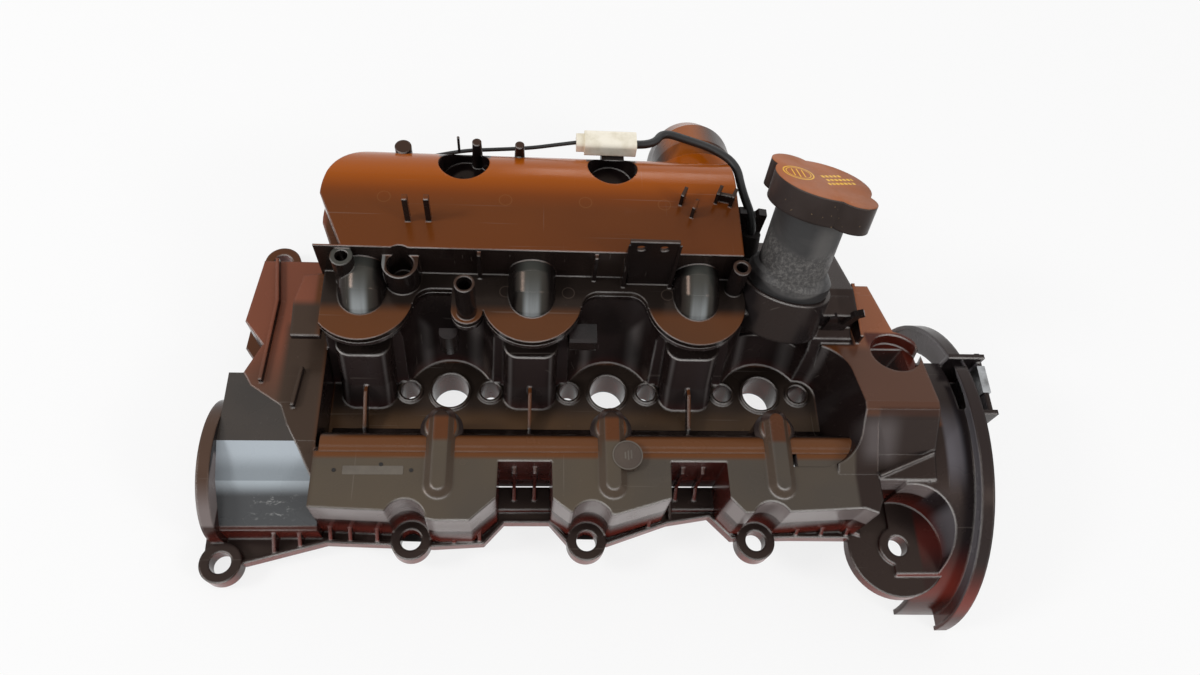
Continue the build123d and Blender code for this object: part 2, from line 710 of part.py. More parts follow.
# --- upper moulding: weld flange, runner hoods, plenum, posts and clips --------
posts = [(-152.5, 44.0, 104.0, 6.2, 3.5), (70.6, 42.5, 104.0, 5.2, 3.3), (-84.7, 24.0, 111.0, 5.6, 4.2)]
front_ribs = [-78.0, -12.0, 8.5, 30.0]
bracket_x = (6.0, 37.0)
with BuildPart() as manifold_shell:
    with BuildSketch(Plane.XY.offset(seam)):
        add(lobes(0.0, rail_left))
    extrude(amount=seam_top - seam)
    with BuildSketch(Plane.YZ.offset(plenum_left)):
        add(plenum_sketch(0.0))
    extrude(amount=plenum_right - plenum_left)
    # plan of the plenum trims its ends
    with BuildSketch(Plane.XY.offset(seam)):
        add(plan_sketch(0.0))
        with Locations(((plenum_left + plenum_right) / 2, 25.0)):
            Rectangle(plenum_right - plenum_left + 40.0, 2 * (plenum_front + 1.0 - 25.0))
    extrude(amount=roof_top - seam, mode=Mode.INTERSECT)
    # runner hoods
    add(outer_bends)
    split(bisect_by=Plane.XY.offset(seam), keep=Keep.TOP)
    # screw posts
    for x, y, top, outer, bore in posts:
        with BuildSketch(Plane.XY.offset(seam)):
            with Locations((x, y)):
                Circle(outer)
        extrude(amount=top - seam)
    # housing of the pressure sensor
    with BuildSketch(Plane.XY.offset(seam)):
        with Locations((-121.5, 44.0)):
            Circle(10.0)
        with Locations((-121.5, 48.0)):
            Rectangle(20.0, 8.0)
    extrude(amount=98.0 - seam)
    # ribs and bracket on the front wall
    for x in front_ribs:
        with BuildSketch(Plane.XY.offset(seam)):
            with Locations((x, 47.5)):
                Rectangle(web, 3.5)
        extrude(amount=roof_top - 2.0 - seam)
    with BuildSketch(Plane.XZ.offset(-46.5)):
        Polygon((bracket_x[0] + 1.5, seam_top - 1), (bracket_x[1] - 2, seam_top - 1), (32.0, 124.0), (4.5, 124.0), align=None)
        with Locations((11.0, 118.0), (24.0, 118.0)):
            Circle(2.6, mode=Mode.SUBTRACT)
    extrude(amount=web)
    for x in (5.0, 32.5):
        with BuildSketch(Plane.YZ.offset(x - 1.0)):
            Polygon((49.5, seam_top - 1), (42.0, seam_top - 1), (44.5, 122.0), (49.5, roof_top - 1), align=None)
        extrude(amount=web)
    # hollow of the plenum, open to the runners
    with BuildPart(mode=Mode.PRIVATE) as space:
        with BuildSketch(Plane.YZ.offset(plenum_left)):
            add(plenum_sketch(wall))
        extrude(amount=plenum_right - plenum_left)
        with BuildSketch(Plane.XY.offset(seam)):
            add(plan_sketch(wall))
        extrude(amount=roof_top - seam, mode=Mode.INTERSECT)
    add(space.part, mode=Mode.SUBTRACT)
    # half-moon pockets in the back of the roof, with their own floors
    for x in (-89.0, -1.0):
        with BuildSketch(Plane.XY.offset(80.0)):
            with Locations((x, 112.0)):
                Circle(17.5)
        extrude(amount=20.0)
        with BuildSketch(Plane.XY.offset(83.0)):
            with Locations((x, 112.0)):
                Circle(15.0)
        extrude(amount=30.0, mode=Mode.SUBTRACT)
    with BuildSketch(Plane.YZ.offset(plenum_left)):
        with BuildLine():
            Polyline(
                (plenum_back, seam - 1), (plenum_back + 40, seam - 1), (plenum_back + 40, 140.0), (60.0, 140.0),
                (60.0, roof_top), (roof_flat_end, roof_top),
            )
            ThreePointArc((roof_flat_end, roof_top), (plenum_back - 11.5, seam + 19.5), (plenum_back, seam))
            Line((plenum_back, seam), (plenum_back, seam - 1))
        make_face()
    extrude(amount=plenum_right + 20 - plenum_left, mode=Mode.SUBTRACT)
    # upper half of the inlet's throat
    add(throat(inlet_radius, plenum_back - 12.0))
    split(bisect_by=Plane.XY.offset(seam), keep=Keep.TOP)
    add(inner_throat, mode=Mode.SUBTRACT)
    add(inner_bends, mode=Mode.SUBTRACT)
    for x, y, top, outer, bore in posts:
        with BuildSketch(Plane.XY.offset(top - 18.0)):
            with Locations((x, y)):
                Circle(bore)
        extrude(amount=20.0, mode=Mode.SUBTRACT)
    with BuildSketch(Plane.XY.offset(seam_top)):
        with Locations((-121.5, 43.0)):
            Circle(7.5)
    extrude(amount=40.0, mode=Mode.SUBTRACT)
    # pegs and clips on the roof
    with BuildSketch(Plane.XY.offset(roof_top - 0.5)):
        with Locations((-117.9, 68.0), (-106.4, 68.4)):
            Rectangle(3.0, 3.6)
    extrude(amount=21.0)
    with BuildSketch(Plane.XY.offset(roof_top - 0.5)):
        for x, y in ((38.6, 86.0), (44.5, 77.5), (59.5, 88.0), (68.0, 86.0)):
            with Locations((x, y)):
                Rectangle(web, 7.0, rotation=-25)
    extrude(amount=10.0)
    with BuildSketch(Plane.XY.offset(roof_top - 0.5)):
        with Locations((63.8, 87.0)):
            Rectangle(8.0, web, rotation=-12)
    extrude(amount=7.0)
    # posts at the rear edge
    with BuildSketch(Plane.XY.offset(seam_top)):
        with Locations((-126.0, 126.5)):
            Circle(5.0)
    extrude(amount=17.0)
    with BuildSketch(Plane.XY.offset(seam_top)):
        with Locations((-82.0, 126.0), (-56.5, 125.0)):
            Circle(3.6)
    extrude(amount=24.0, taper=2.0)
finish(manifold_shell.part, "manifold_shell")

# --- inlet duct behind the plenum ---------------------------------------------
with BuildPart() as inlet_duct:
    with BuildLine():
        Polyline(*[(inlet_x, inlet_y + down, inlet_z - along) for along, down in elbow(inlet_bend)])
    with BuildSketch(Plane.XZ.offset(-inlet_y)):
        with Locations((inlet_x, inlet_z)):
            Circle(inlet_radius)
            Circle(inlet_radius - wall, mode=Mode.SUBTRACT)
    sweep(transition=Transition.RIGHT)
finish(inlet_duct.part, "inlet_duct")

# --- filler neck, its seal, the cap -------------------------------------------
with BuildPart() as neck_seal:
    with BuildSketch(neck_plane(0.0)):
        Circle(collar_radius - 0.6)
        Circle(spigot_radius + gap, mode=Mode.SUBTRACT)
    extrude(amount=seal_thick)
finish(neck_seal.part, "neck_seal")

with BuildPart() as filler_neck:
    with BuildSketch(Plane.XZ):
        Polygon(
            (neck_bore, -10.0), (spigot_radius, -10.0), (spigot_radius, seal_thick), (collar_radius, seal_thick),
            (collar_radius, 7.0), (collar_radius - 2.0, collar_height - 1.0), (neck_radius, collar_height + 1.0),
            (neck_radius, neck_height), (neck_bore, neck_height), align=None,
        )
    revolve(axis=Axis.Z)
filler_neck.part.locate(neck_plane(0.0).location)
finish(filler_neck.part, "filler_neck")

with BuildPart() as cap_seal:
    with BuildSketch(neck_plane(neck_height)):
        Circle(neck_radius - 0.2)
        Circle(neck_bore + 0.6, mode=Mode.SUBTRACT)
    extrude(amount=seal_thick)
finish(cap_seal.part, "cap_seal")

cap_floor = neck_height + seal_thick
with BuildPart() as filler_cap:
    with BuildSketch(neck_plane(cap_start)):
        Circle(cap_radius)
        SlotOverall(2 * cap_lug_reach, 24.0, rotation=cap_lug_angle)
    extrude(amount=cap_height)
    with BuildSketch(neck_plane(cap_start)):
        Circle(neck_radius + 0.8)
    extrude(amount=cap_floor - cap_start, mode=Mode.SUBTRACT)
finish(filler_cap.part, "filler_cap")

with BuildPart() as cap_plug:
    with BuildSketch(neck_plane(neck_height - plug_depth)):
        Circle(neck_bore - 0.5)
    extrude(amount=cap_floor - neck_height + plug_depth)
    with BuildSketch(neck_plane(neck_height - plug_depth)):
        Circle(neck_bore - 3.0)
    extrude(amount=plug_depth, mode=Mode.SUBTRACT)
finish(cap_plug.part, "cap_plug")

# --- seals against the head ---------------------------------------------------
head_points = [
    (-221.0, -88.0), (-205.0, -95.0), (-163.0, -84.5), (-100.0, -86.5), (-75.0, -85.5), (-64.0, -73.0),
    (-33.5, -73.0), (-23.0, -85.0), (-2.0, -85.5), (35.0, -73.5), (62.0, -69.5), (75.0, -82.5),
    (151.0, -82.5), (160.0, -74.0), (185.0, -40.0), (185.0, 8.0), (171.0, 30.0), (164.0, 86.0), (-187.0, 86.0),
    (-217.0, 88.0), (-221.0, 36.0), (-208.0, 18.0), (-217.0, -2.0), (-224.0, -60.0),
]
with BuildPart() as cover_gasket:
    with BuildSketch():
        Polygon(*head_points, align=None)
        add(inset(head_points, 4.0), mode=Mode.SUBTRACT)
    extrude(amount=-seal_thick)
finish(cover_gasket.part, "cover_gasket")

for index, x in enumerate(injector_x, start=1):
    with BuildPart() as well_seal:
        with BuildSketch():
            with Locations((x, 0.0)):
                Circle(well_ring + 0.4)
                Circle(well_radius + 0.3, mode=Mode.SUBTRACT)
        extrude(amount=-seal_thick)
    finish(well_seal.part, f"injector_well_seal_{index}")

for index, x in enumerate(runner_x, start=1):
    with BuildPart() as port_seal:
        with BuildSketch():
            with Locations((x, port_y)):
                Circle(runner_outer)
                Circle(runner_bore + 1.0, mode=Mode.SUBTRACT)
        extrude(amount=-seal_thick)
    finish(port_seal.part, f"port_seal_{index}")

with BuildPart() as oil_baffle:
    with BuildSketch(Plane.XY.offset(30.0)):
        with Locations(((block_left + rail_left) / 2, (block_back - wall - 45.0) / 2)):
            Rectangle(rail_left - block_left - 2 * wall, block_back - wall + 45.0)
        with Locations(*[((block_left + rail_left) / 2, y) for y in (-30.0, -20.0, -10.0)]):
            SlotOverall(30.0, 4.0, mode=Mode.SUBTRACT)
        add(notch(wall), mode=Mode.SUBTRACT)
    extrude(amount=web)
finish(oil_baffle.part, "oil_baffle")

# --- clip nut of the belt guard ------------------------------------------------
with BuildPart() as clip_nut:
    with BuildSketch(Plane.XZ.offset(-9.0)):
        Polygon(
            (228.0, 22.0), (229.0, 22.0), (229.0, 49.0), (232.0, 49.0), (232.0, 30.0), (233.0, 30.0),
            (233.0, 50.0), (228.0, 50.0), align=None,
        )
    extrude(amount=18.0)
    with BuildSketch(Plane.YZ.offset(225.0)):
        with Locations(nut_centre):
            Circle(nut_radius + 1.5)
    extrude(amount=3.0)
    with BuildSketch(Plane.YZ.offset(220.0)):
        with Locations(nut_centre):
            Circle(nut_radius)
    extrude(amount=20.0, mode=Mode.SUBTRACT)
finish(clip_nut.part, "clip_nut")

# --- wiring at the rear ---------------------------------------------------------
plug_left = -17.0
plug_right = 15.0
plug_front = plenum_back - 4.0
plug_low = 89.0
plug_width = 13.0
plug_tall = 11.0
cable_radius = 2.6
with BuildPart() as connector_clip:
    with BuildSketch(Plane.YZ.offset(-6.0)):
        Polygon(
            (roof_flat_end + 20.0, plug_low - gap), (plug_front + plug_width + gap, plug_low - gap),
            (plug_front + plug_width + gap, plug_low + 6.0), (plug_front + plug_width + 2.3, plug_low + 6.0),
            (plug_front + plug_width + 2.3, plug_low - 3.0), (plenum_back, seam_top), (roof_flat_end + 20.0, seam_top),
            align=None,
        )
        add(plenum_sketch(0.0), mode=Mode.SUBTRACT)
    extrude(amount=14.0)
finish(connector_clip.part, "connector_clip")

with BuildPart() as connector:
    with BuildSketch(Plane.YZ.offset(plug_left)):
        with Locations((plug_front + plug_width / 2, plug_low + plug_tall / 2)):
            RectangleRounded(plug_width, plug_tall, 2.5)
    extrude(amount=plug_right - plug_left)
    with BuildSketch(Plane.YZ.offset(plug_left - 5.0)):
        with Locations((plug_front + plug_width / 2, plug_low + plug_tall / 2)):
            RectangleRounded(plug_width - 3.0, plug_tall - 3.0, 2.0)
    extrude(amount=5.0)
finish(connector.part, "connector")

cable_y = plug_front + plug_width / 2
cable_z = plug_low + plug_tall / 2
cable_end = sensor_plane.origin + sensor_plane.z_dir * (sensor_tall + 0.2)
cable_bend = sensor_plane.origin + sensor_plane.z_dir * (sensor_tall + 9.0)
with BuildPart() as sensor_cable:
    with BuildLine():
        FilletPolyline(
            (plug_right + 0.2, cable_y, cable_z), (26.0, cable_y, cable_z), (33.0, 149.0, 92.5), (48.0, 144.0, 92.0),
            (64.0, 136.0, 94.0), (78.0, 125.0, 93.0), (79.5, 106.0, 92.0), cable_bend, cable_end, radius=4.0,
        )
    with BuildSketch(Plane.YZ.offset(plug_right + 0.2)):
        with Locations((cable_y, cable_z)):
            RegularPolygon(cable_radius, 8)
    sweep()
finish(sensor_cable.part, "sensor_cable")

with BuildPart() as temperature_sensor:
    with BuildSketch(sensor_plane):
        Circle(9.0)
    extrude(amount=2.0)
    with BuildSketch(sensor_plane):
        Circle(6.0)
    extrude(amount=sensor_tall)
    with BuildSketch(sensor_plane):
        Circle(sensor_radius)
    extrude(amount=-9.0)
finish(temperature_sensor.part, "temperature_sensor")
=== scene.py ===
import math

import bmesh
import bpy
from mathutils import Matrix, Vector


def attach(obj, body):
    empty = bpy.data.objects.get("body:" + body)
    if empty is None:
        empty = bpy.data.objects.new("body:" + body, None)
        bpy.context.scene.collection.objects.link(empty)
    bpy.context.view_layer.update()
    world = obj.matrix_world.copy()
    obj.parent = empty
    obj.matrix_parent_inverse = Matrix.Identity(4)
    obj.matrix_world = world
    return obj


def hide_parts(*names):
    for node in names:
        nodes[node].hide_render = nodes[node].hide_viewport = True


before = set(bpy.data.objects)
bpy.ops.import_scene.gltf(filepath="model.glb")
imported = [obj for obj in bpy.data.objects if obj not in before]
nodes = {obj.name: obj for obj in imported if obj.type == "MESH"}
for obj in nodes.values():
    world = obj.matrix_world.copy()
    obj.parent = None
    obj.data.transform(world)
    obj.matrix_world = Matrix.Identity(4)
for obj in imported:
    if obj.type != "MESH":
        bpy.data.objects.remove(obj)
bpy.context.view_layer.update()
scene = bpy.context.scene
scene.view_settings.view_transform = "Standard"

# lengths are in metres
SENSOR_WIDTH = 36.0                              # millimetres
FOCAL_PIXELS = 880.0
WIDTH_PIXELS = 1200.0
FLOOR_RADIUS = 3.0
FLOOR_SIDES = 96
FLOOR_RIGHT = Vector((0.2165, -0.03, -0.0414))   # lowest point of the belt guard
FLOOR_LEFT = Vector((-0.23, -0.03, -0.0022))     # left end of the flange
LAMP_TARGET = (0.0, 0.0, 0.05)
WHITE = (1.0, 1.0, 1.0, 1.0)
WARM_TINT = (1.0, 0.72, 0.58, 1.0)               # reflections on the black mouldings lean to red
GRAIN_DEPTH = 0.0003
VALLEY_LEFT, VALLEY_RIGHT = -0.166, 0.132        # ends of the injector valley
HOOD_X = (-0.144, -0.048, 0.048)                 # middles of the runner hoods
POCKET_X = (-0.089, -0.001)                      # middles of the pockets in the manifold's roof
CAP_FOOT = Vector((0.1035, 0.048, 0.08))         # where the cap's axis meets the neck's foot
CAP_HEIGHT = 0.0665                              # from there to the cap's top
CAP_LEAN_X, CAP_LEAN_Y = 8.0, 29.0               # degrees
PRINT_RING = (-0.0135, 0.005)                    # middle of the ring printed on the cap
PRINT_COS, PRINT_SIN = 0.92, 0.39                # slant of the printed rows
STAMP_X, STAMP_Y, STAMP_RADIUS = 0.0067, -0.0526, 0.0086
STAMP_HOLE = 0.0079                              # inner radius of the stamp's raised rim
STAMP_SIDES = 48


def srgb(red, green, blue):
    """Linear colour from 0-255 display values."""
    out = []
    for value in (red, green, blue):
        v = value / 255.0
        out.append(v / 12.92 if v <= 0.04045 else ((v + 0.055) / 1.055) ** 2.4)
    return (*out, 1.0)


# painted brown reflection on the up-facing faces of the black mouldings
BROWN_REFLECTION = srgb(98, 58, 30)
DUST = srgb(150, 138, 126)
# painted dark red shade inside the front pockets, with a red reflection in it
POCKET_RED_SHADE = srgb(60, 24, 20)

# --- camera ---------------------------------------------------------------------
camera_data = bpy.data.cameras.new("camera")
camera_data.sensor_width = SENSOR_WIDTH
camera_data.lens = SENSOR_WIDTH * FOCAL_PIXELS / WIDTH_PIXELS
camera_data.clip_start = 0.01
camera = bpy.data.objects.new("camera", camera_data)
scene.collection.objects.link(camera)
camera.matrix_world = Matrix((
    (0.995827, -0.016839, -0.089697, -0.054002),
    (-0.026333, 0.888014, -0.459063, -0.219784),
    (0.087382, 0.459509, 0.883864, 0.52011),
    (0.0, 0.0, 0.0, 1.0),
))
scene.camera = camera


# --- floor, world and lamps -----------------------------------------------------
def mesh_object(name, verts, faces):
    """New object from plain vertices and faces, in metres."""
    mesh = bpy.data.meshes.new(name)
    mesh.from_pydata(verts, [], faces)
    mesh.update()
    obj = bpy.data.objects.new(name, mesh)
    scene.collection.objects.link(obj)
    return obj


def seen_directly(tree):
    """1 for camera, mirror and see-through rays, 0 for the rays that light things."""
    path = tree.nodes.new("ShaderNodeLightPath")
    total = path.outputs["Is Camera Ray"]
    for name in ("Is Glossy Ray", "Is Transmission Ray"):
        node = tree.nodes.new("ShaderNodeMath")
        node.operation = "MAXIMUM"
        tree.links.new(total, node.inputs[0])
        tree.links.new(path.outputs[name], node.inputs[1])
        total = node.outputs[0]
    return total


# round floor, tilted as the resting cover needs it
floor_tilt = (FLOOR_RIGHT - FLOOR_LEFT).normalized()
floor_middle = (FLOOR_RIGHT + FLOOR_LEFT) / 2
floor_rim = []
for i in range(FLOOR_SIDES):
    angle = math.tau * i / FLOOR_SIDES
    along = floor_tilt * (FLOOR_RADIUS * math.cos(angle))
    floor_rim.append(floor_middle + along + Vector((0.0, FLOOR_RADIUS * math.sin(angle), 0.0)))
floor = mesh_object("floor", floor_rim, [list(range(FLOOR_SIDES))])

# rays that light things meet plain paper; a direct look meets mostly a white glow, with a faint shadow
floor_material = bpy.data.materials.new("floor_paper")
floor_material.use_nodes = True
tree = floor_material.node_tree
shader = tree.nodes["Principled BSDF"]
shader.inputs["Roughness"].default_value = 0.9
shader.inputs["Specular IOR Level"].default_value = 0.1
coords = tree.nodes.new("ShaderNodeTexCoord")
grain = tree.nodes.new("ShaderNodeTexNoise")
grain.inputs["Scale"].default_value = 3.0
ramp = tree.nodes.new("ShaderNodeValToRGB")
ramp.color_ramp.elements[0].color = (0.86, 0.85, 0.84, 1.0)
ramp.color_ramp.elements[1].color = (0.9, 0.89, 0.88, 1.0)
tree.links.new(coords.outputs["Object"], grain.inputs["Vector"])
tree.links.new(grain.outputs["Fac"], ramp.inputs["Fac"])
tree.links.new(ramp.outputs["Color"], shader.inputs["Base Color"])
glow = tree.nodes.new("ShaderNodeEmission")
glow.inputs["Color"].default_value = WHITE
glow.inputs["Strength"].default_value = 1.0
share = tree.nodes.new("ShaderNodeMath")
share.operation = "MULTIPLY"
share.inputs[1].default_value = 0.8
paper = tree.nodes.new("ShaderNodeMixShader")
tree.links.new(seen_directly(tree), share.inputs[0])
tree.links.new(share.outputs[0], paper.inputs["Fac"])
tree.links.new(shader.outputs[0], paper.inputs[1])
tree.links.new(glow.outputs[0], paper.inputs[2])
tree.links.new(paper.outputs[0], tree.nodes["Material Output"].inputs["Surface"])
floor.data.materials.append(floor_material)

# the world is white where it is seen or mirrored, and dimmer to the rays that light things
world = bpy.data.worlds.new("studio")
scene.world = world
world.use_nodes = True
tree = world.node_tree
for node in list(tree.nodes):
    tree.nodes.remove(node)
out = tree.nodes.new("ShaderNodeOutputWorld")
soft = tree.nodes.new("ShaderNodeBackground")
soft.inputs["Color"].default_value = (0.97, 0.98, 1.0, 1.0)
soft.inputs["Strength"].default_value = 0.62
seen = tree.nodes.new("ShaderNodeBackground")
seen.inputs["Color"].default_value = WHITE
seen.inputs["Strength"].default_value = 1.0
mix = tree.nodes.new("ShaderNodeMixShader")
tree.links.new(seen_directly(tree), mix.inputs["Fac"])
tree.links.new(soft.outputs[0], mix.inputs[1])
tree.links.new(seen.outputs[0], mix.inputs[2])
tree.links.new(mix.outputs[0], out.inputs["Surface"])


def area_lamp(name, place, size, watts):
    """Soft square lamp that faces the part."""
    data = bpy.data.lights.new(name, "AREA")
    data.size = size
    data.energy = watts
    lamp = bpy.data.objects.new(name, data)
    lamp.location = place
    lamp.rotation_euler = (Vector(LAMP_TARGET) - Vector(place)).to_track_quat("-Z", "Y").to_euler()
    scene.collection.objects.link(lamp)


area_lamp("key", (-1.25, -0.2, 1.2), 0.35, 9.0)
area_lamp("fill", (1.2, -0.7, 1.0), 0.4, 5.0)
area_lamp("rear", (0.2, 1.5, 0.75), 0.5, 3.0)


# --- materials ------------------------------------------------------------------
class Maker:
    """Small helper to wire nodes in one tree."""

    def __init__(self, tree):
        self.tree = tree
        self.coords = tree.nodes.new("ShaderNodeTexCoord")
        self.place = tree.nodes.new("ShaderNodeSeparateXYZ")
        self.facing = tree.nodes.new("ShaderNodeSeparateXYZ")
        tree.links.new(self.coords.outputs["Object"], self.place.inputs[0])
        tree.links.new(self.coords.outputs["Normal"], self.facing.inputs[0])

    def wire(self, source, target):
        """Link two sockets."""
        self.tree.links.new(source, target)

    def math(self, kind, a, b=None):
        """Result of a maths node; each operand is a number or a socket."""
        node = self.tree.nodes.new("ShaderNodeMath")
        node.operation = kind
        for socket, value in ((node.inputs[0], a), (node.inputs[1], b)):
            if value is None:
                continue
            if isinstance(value, (int, float)):
                socket.default_value = value
            else:
                self.wire(value, socket)
        return node.outputs[0]

    def span(self, value, low, high, to_low=0.0, to_high=1.0):
        """Smooth step of a value between two limits."""
        node = self.tree.nodes.new("ShaderNodeMapRange")
        node.interpolation_type = "SMOOTHSTEP"
        node.inputs["From Min"].default_value = low
        node.inputs["From Max"].default_value = high
        node.inputs["To Min"].default_value = to_low
        node.inputs["To Max"].default_value = to_high
        self.wire(value, node.inputs["Value"])
        return node.outputs["Result"]

    def band(self, value, low, high, edge):
        """1 between two limits, with soft edges."""
        rise = self.span(value, low - edge, low + edge)
        fall = self.span(value, high + edge, high - edge)
        return self.math("MULTIPLY", rise, fall)

    def away(self, x, y, centre_x, centre_y):
        """Distance from a point in plan."""
        dx = self.math("SUBTRACT", x, centre_x)
        dy = self.math("SUBTRACT", y, centre_y)
        squares = self.math("ADD", self.math("MULTIPLY", dx, dx), self.math("MULTIPLY", dy, dy))
        return self.math("SQRT", squares)

    def ring(self, x, y, centre_x, centre_y, radius, half):
        """Thin round line in plan."""
        return self.band(self.away(x, y, centre_x, centre_y), radius - half, radius + half, half)

    def noise(self, scale, detail=4.0, rough=0.55, stretch=(1.0, 1.0, 1.0)):
        """Noise in object space."""
        node = self.tree.nodes.new("ShaderNodeTexNoise")
        node.inputs["Scale"].default_value = scale
        node.inputs["Detail"].default_value = detail
        node.inputs["Roughness"].default_value = rough
        mapping = self.tree.nodes.new("ShaderNodeMapping")
        mapping.inputs["Scale"].default_value = stretch
        self.wire(self.coords.outputs["Object"], mapping.inputs["Vector"])
        self.wire(mapping.outputs[0], node.inputs["Vector"])
        return node.outputs["Fac"]

    def specks(self, low, high, scale=430.0):
        """Fine grains of dust."""
        return self.span(self.noise(scale, 2.0, 0.7), low, high)

    def blend(self, fac, a, b):
        """Mix of two colours, each a colour or a socket."""
        node = self.tree.nodes.new("ShaderNodeMix")
        node.data_type = "RGBA"
        self.wire(fac, node.inputs[0])
        # inputs 6 and 7 and output 2 are the mix node's colour sockets
        for socket, value in ((node.inputs[6], a), (node.inputs[7], b)):
            if isinstance(value, tuple):
                socket.default_value = value
            else:
                self.wire(value, socket)
        return node.outputs[2]

    def thin(self, colour, mask, paint, share):
        """Colour with a share of a paint laid over it where the mask is 1."""
        return self.blend(self.math("MULTIPLY", mask, share), colour, paint)

    def dot(self, a, b):
        """Dot product; each operand is a vector or a socket."""
        node = self.tree.nodes.new("ShaderNodeVectorMath")
        node.operation = "DOT_PRODUCT"
        for socket, value in zip(node.inputs, (a, b)):
            if isinstance(value, (tuple, Vector)):
                socket.default_value = value
            else:
                self.wire(value, socket)
        return node.outputs["Value"]

    def paint(self, shader, colour, rough, grain, strength=0.1, depth=GRAIN_DEPTH, normal=None):
        """Wire colour, roughness and the height of the fine grain into the shader."""
        self.wire(colour, shader.inputs["Base Color"])
        self.wire(rough, shader.inputs["Roughness"])
        node = self.tree.nodes.new("ShaderNodeBump")
        if normal is not None:
            self.wire(normal, node.inputs["Normal"])
        node.inputs["Strength"].default_value = strength
        node.inputs["Distance"].default_value = depth
        self.wire(grain, node.inputs["Height"])
        self.wire(node.outputs[0], shader.inputs["Normal"])


def new_material(name, rough, metal, specular, tint=WHITE):
    """Empty material: returns it with its shader and the helper for its tree."""
    material = bpy.data.materials.new(name)
    material.use_nodes = True
    shader = material.node_tree.nodes["Principled BSDF"]
    shader.inputs["Roughness"].default_value = rough
    shader.inputs["Metallic"].default_value = metal
    shader.inputs["Specular IOR Level"].default_value = specular
    shader.inputs["Specular Tint"].default_value = tint
    return material, shader, Maker(material.node_tree)


def both(make, *masks):
    """Product of several masks."""
    result = masks[0]
    for mask in masks[1:]:
        result = make.math("MULTIPLY", result, mask)
    return result


def zone(make, low, high, edge=0.0015):
    """Soft mask of a box in object space; None leaves a side open."""
    mask = None
    for axis, start, end in zip("XYZ", low, high):
        value = make.place.outputs[axis]
        for limit, sign in ((start, 1), (end, -1)):
            if limit is None:
                continue
            step = make.span(value, limit - sign * edge, limit + sign * edge)
            mask = step if mask is None else make.math("MULTIPLY", mask, step)
    return mask


def rounded(make, radius):
    """Normal that rolls over the edges, and a mask of those edges."""
    roll = make.tree.nodes.new("ShaderNodeBevel")
    roll.samples = 4
    roll.inputs["Radius"].default_value = radius
    surface = make.tree.nodes.new("ShaderNodeNewGeometry")
    agree = make.dot(roll.outputs[0], surface.outputs["True Normal"])
    return roll.outputs[0], make.span(agree, 0.985, 0.86)


def gloss(make, shader, colour, rough, dust, glow, shine=0.9, radius=0.002):
    """Finish shared by the black mouldings: painted red reflection low down, painted highlights on the
    edges, dust, scratches, fine grain.
    """
    z = make.place.outputs["Z"]
    low = both(make, make.span(z, 0.03, 0.0), make.span(z, -0.02, -0.004))
    outward = make.span(make.facing.outputs["Y"], -0.3, -0.9)
    # painted red reflection low down on the faces that look outward
    colour = make.thin(colour, both(make, low, outward), srgb(128, 50, 40), glow)
    normal, edges = rounded(make, radius)
    edges = both(make, edges, make.span(z, -0.012, 0.002))
    lit = make.span(make.dot(normal, (-0.18, -0.62, 0.76)), 0.72, 0.95)
    patchy = make.span(make.noise(20.0, 3.0), 0.3, 0.6, 0.35, 1.0)
    # painted highlights on the rounded edges that face up and to the front
    colour = make.thin(colour, both(make, edges, lit, patchy), srgb(232, 228, 224), shine)
    smear = make.span(make.noise(16.0, 6.0, 0.75, (1.0, 2.6, 1.0)), 0.6, 0.9)
    grains = make.math("MULTIPLY", make.specks(0.69, 0.78), 0.55 * dust)
    dust_and_reflection = make.math("ADD", grains, make.math("MULTIPLY", smear, dust))
    colour = make.blend(dust_and_reflection, colour, DUST)
    scratch = make.span(make.noise(9.0, 2.0, 0.4, (1.0, 60.0, 8.0)), 0.72, 0.76)
    cross = make.span(make.noise(11.0, 2.0, 0.4, (55.0, 1.0, 8.0)), 0.74, 0.78)
    colour = make.thin(colour, make.math("ADD", scratch, cross), srgb(168, 158, 148), 0.1)
    uneven = make.span(make.noise(38.0, 4.0), 0.3, 0.75, rough - 0.05, rough + 0.13)
    make.paint(shader, colour, uneven, make.noise(1300.0, 2.0), normal=normal)


def body_walls(make):
    """Upright faces of the cover: near black, painted greyer where they lean back, with painted highlights
    and painted shade.
    """
    up, along, side = (make.facing.outputs[axis] for axis in "ZYX")
    wall = make.blend(make.span(up, 0.15, 0.6), srgb(28, 20, 19), srgb(48, 42, 41))
    # painted lighter tone on the valley's walls that face the front
    front = zone(make, (VALLEY_LEFT, -0.04, 0.024), (VALLEY_RIGHT, 0.03, None))
    wall = make.blend(both(make, front, make.span(along, -0.8, -0.97)), wall, srgb(50, 41, 40))
    # painted highlight streaks
    streak = make.span(make.noise(26.0, 3.0, 0.5, (1.0, 1.0, 0.12)), 0.5, 0.75)
    wall = make.thin(wall, streak, srgb(66, 62, 62), 0.3)
    # soft upright lights on the round walls of the valley
    lights = make.math("ADD", make.band(side, -0.62, -0.42, 0.12), make.band(side, 0.42, 0.58, 0.1))
    inside = zone(make, (VALLEY_LEFT, -0.04, 0.022), (VALLEY_RIGHT, 0.03, None))
    wall = make.thin(wall, both(make, lights, inside), srgb(112, 106, 104), 0.5)
    # front of the cam tunnel: painted dark red shade low down, a painted grey highlight higher up, painted
    # dark red shade in its pockets
    wall = make.blend(zone(make, (None, None, None), (None, -0.05, 0.05)), wall, srgb(44, 22, 19))
    wall = make.blend(zone(make, (None, None, 0.03), (None, -0.05, 0.051)), wall, srgb(122, 112, 110))
    left_pocket = zone(make, (-0.067, -0.079, None), (-0.0345, -0.05, None))
    right_pocket = zone(make, (0.0302, -0.079, None), (0.0655, -0.05, None))
    wall = make.blend(make.math("ADD", left_pocket, right_pocket), wall, POCKET_RED_SHADE)
    # the hump's sides take a tone like the painted reflection on its top
    hump_side = zone(make, (-0.12, -0.08, 0.0518), (0.12, -0.03, 0.0565), 0.0004)
    return make.blend(hump_side, wall, srgb(74, 62, 52))


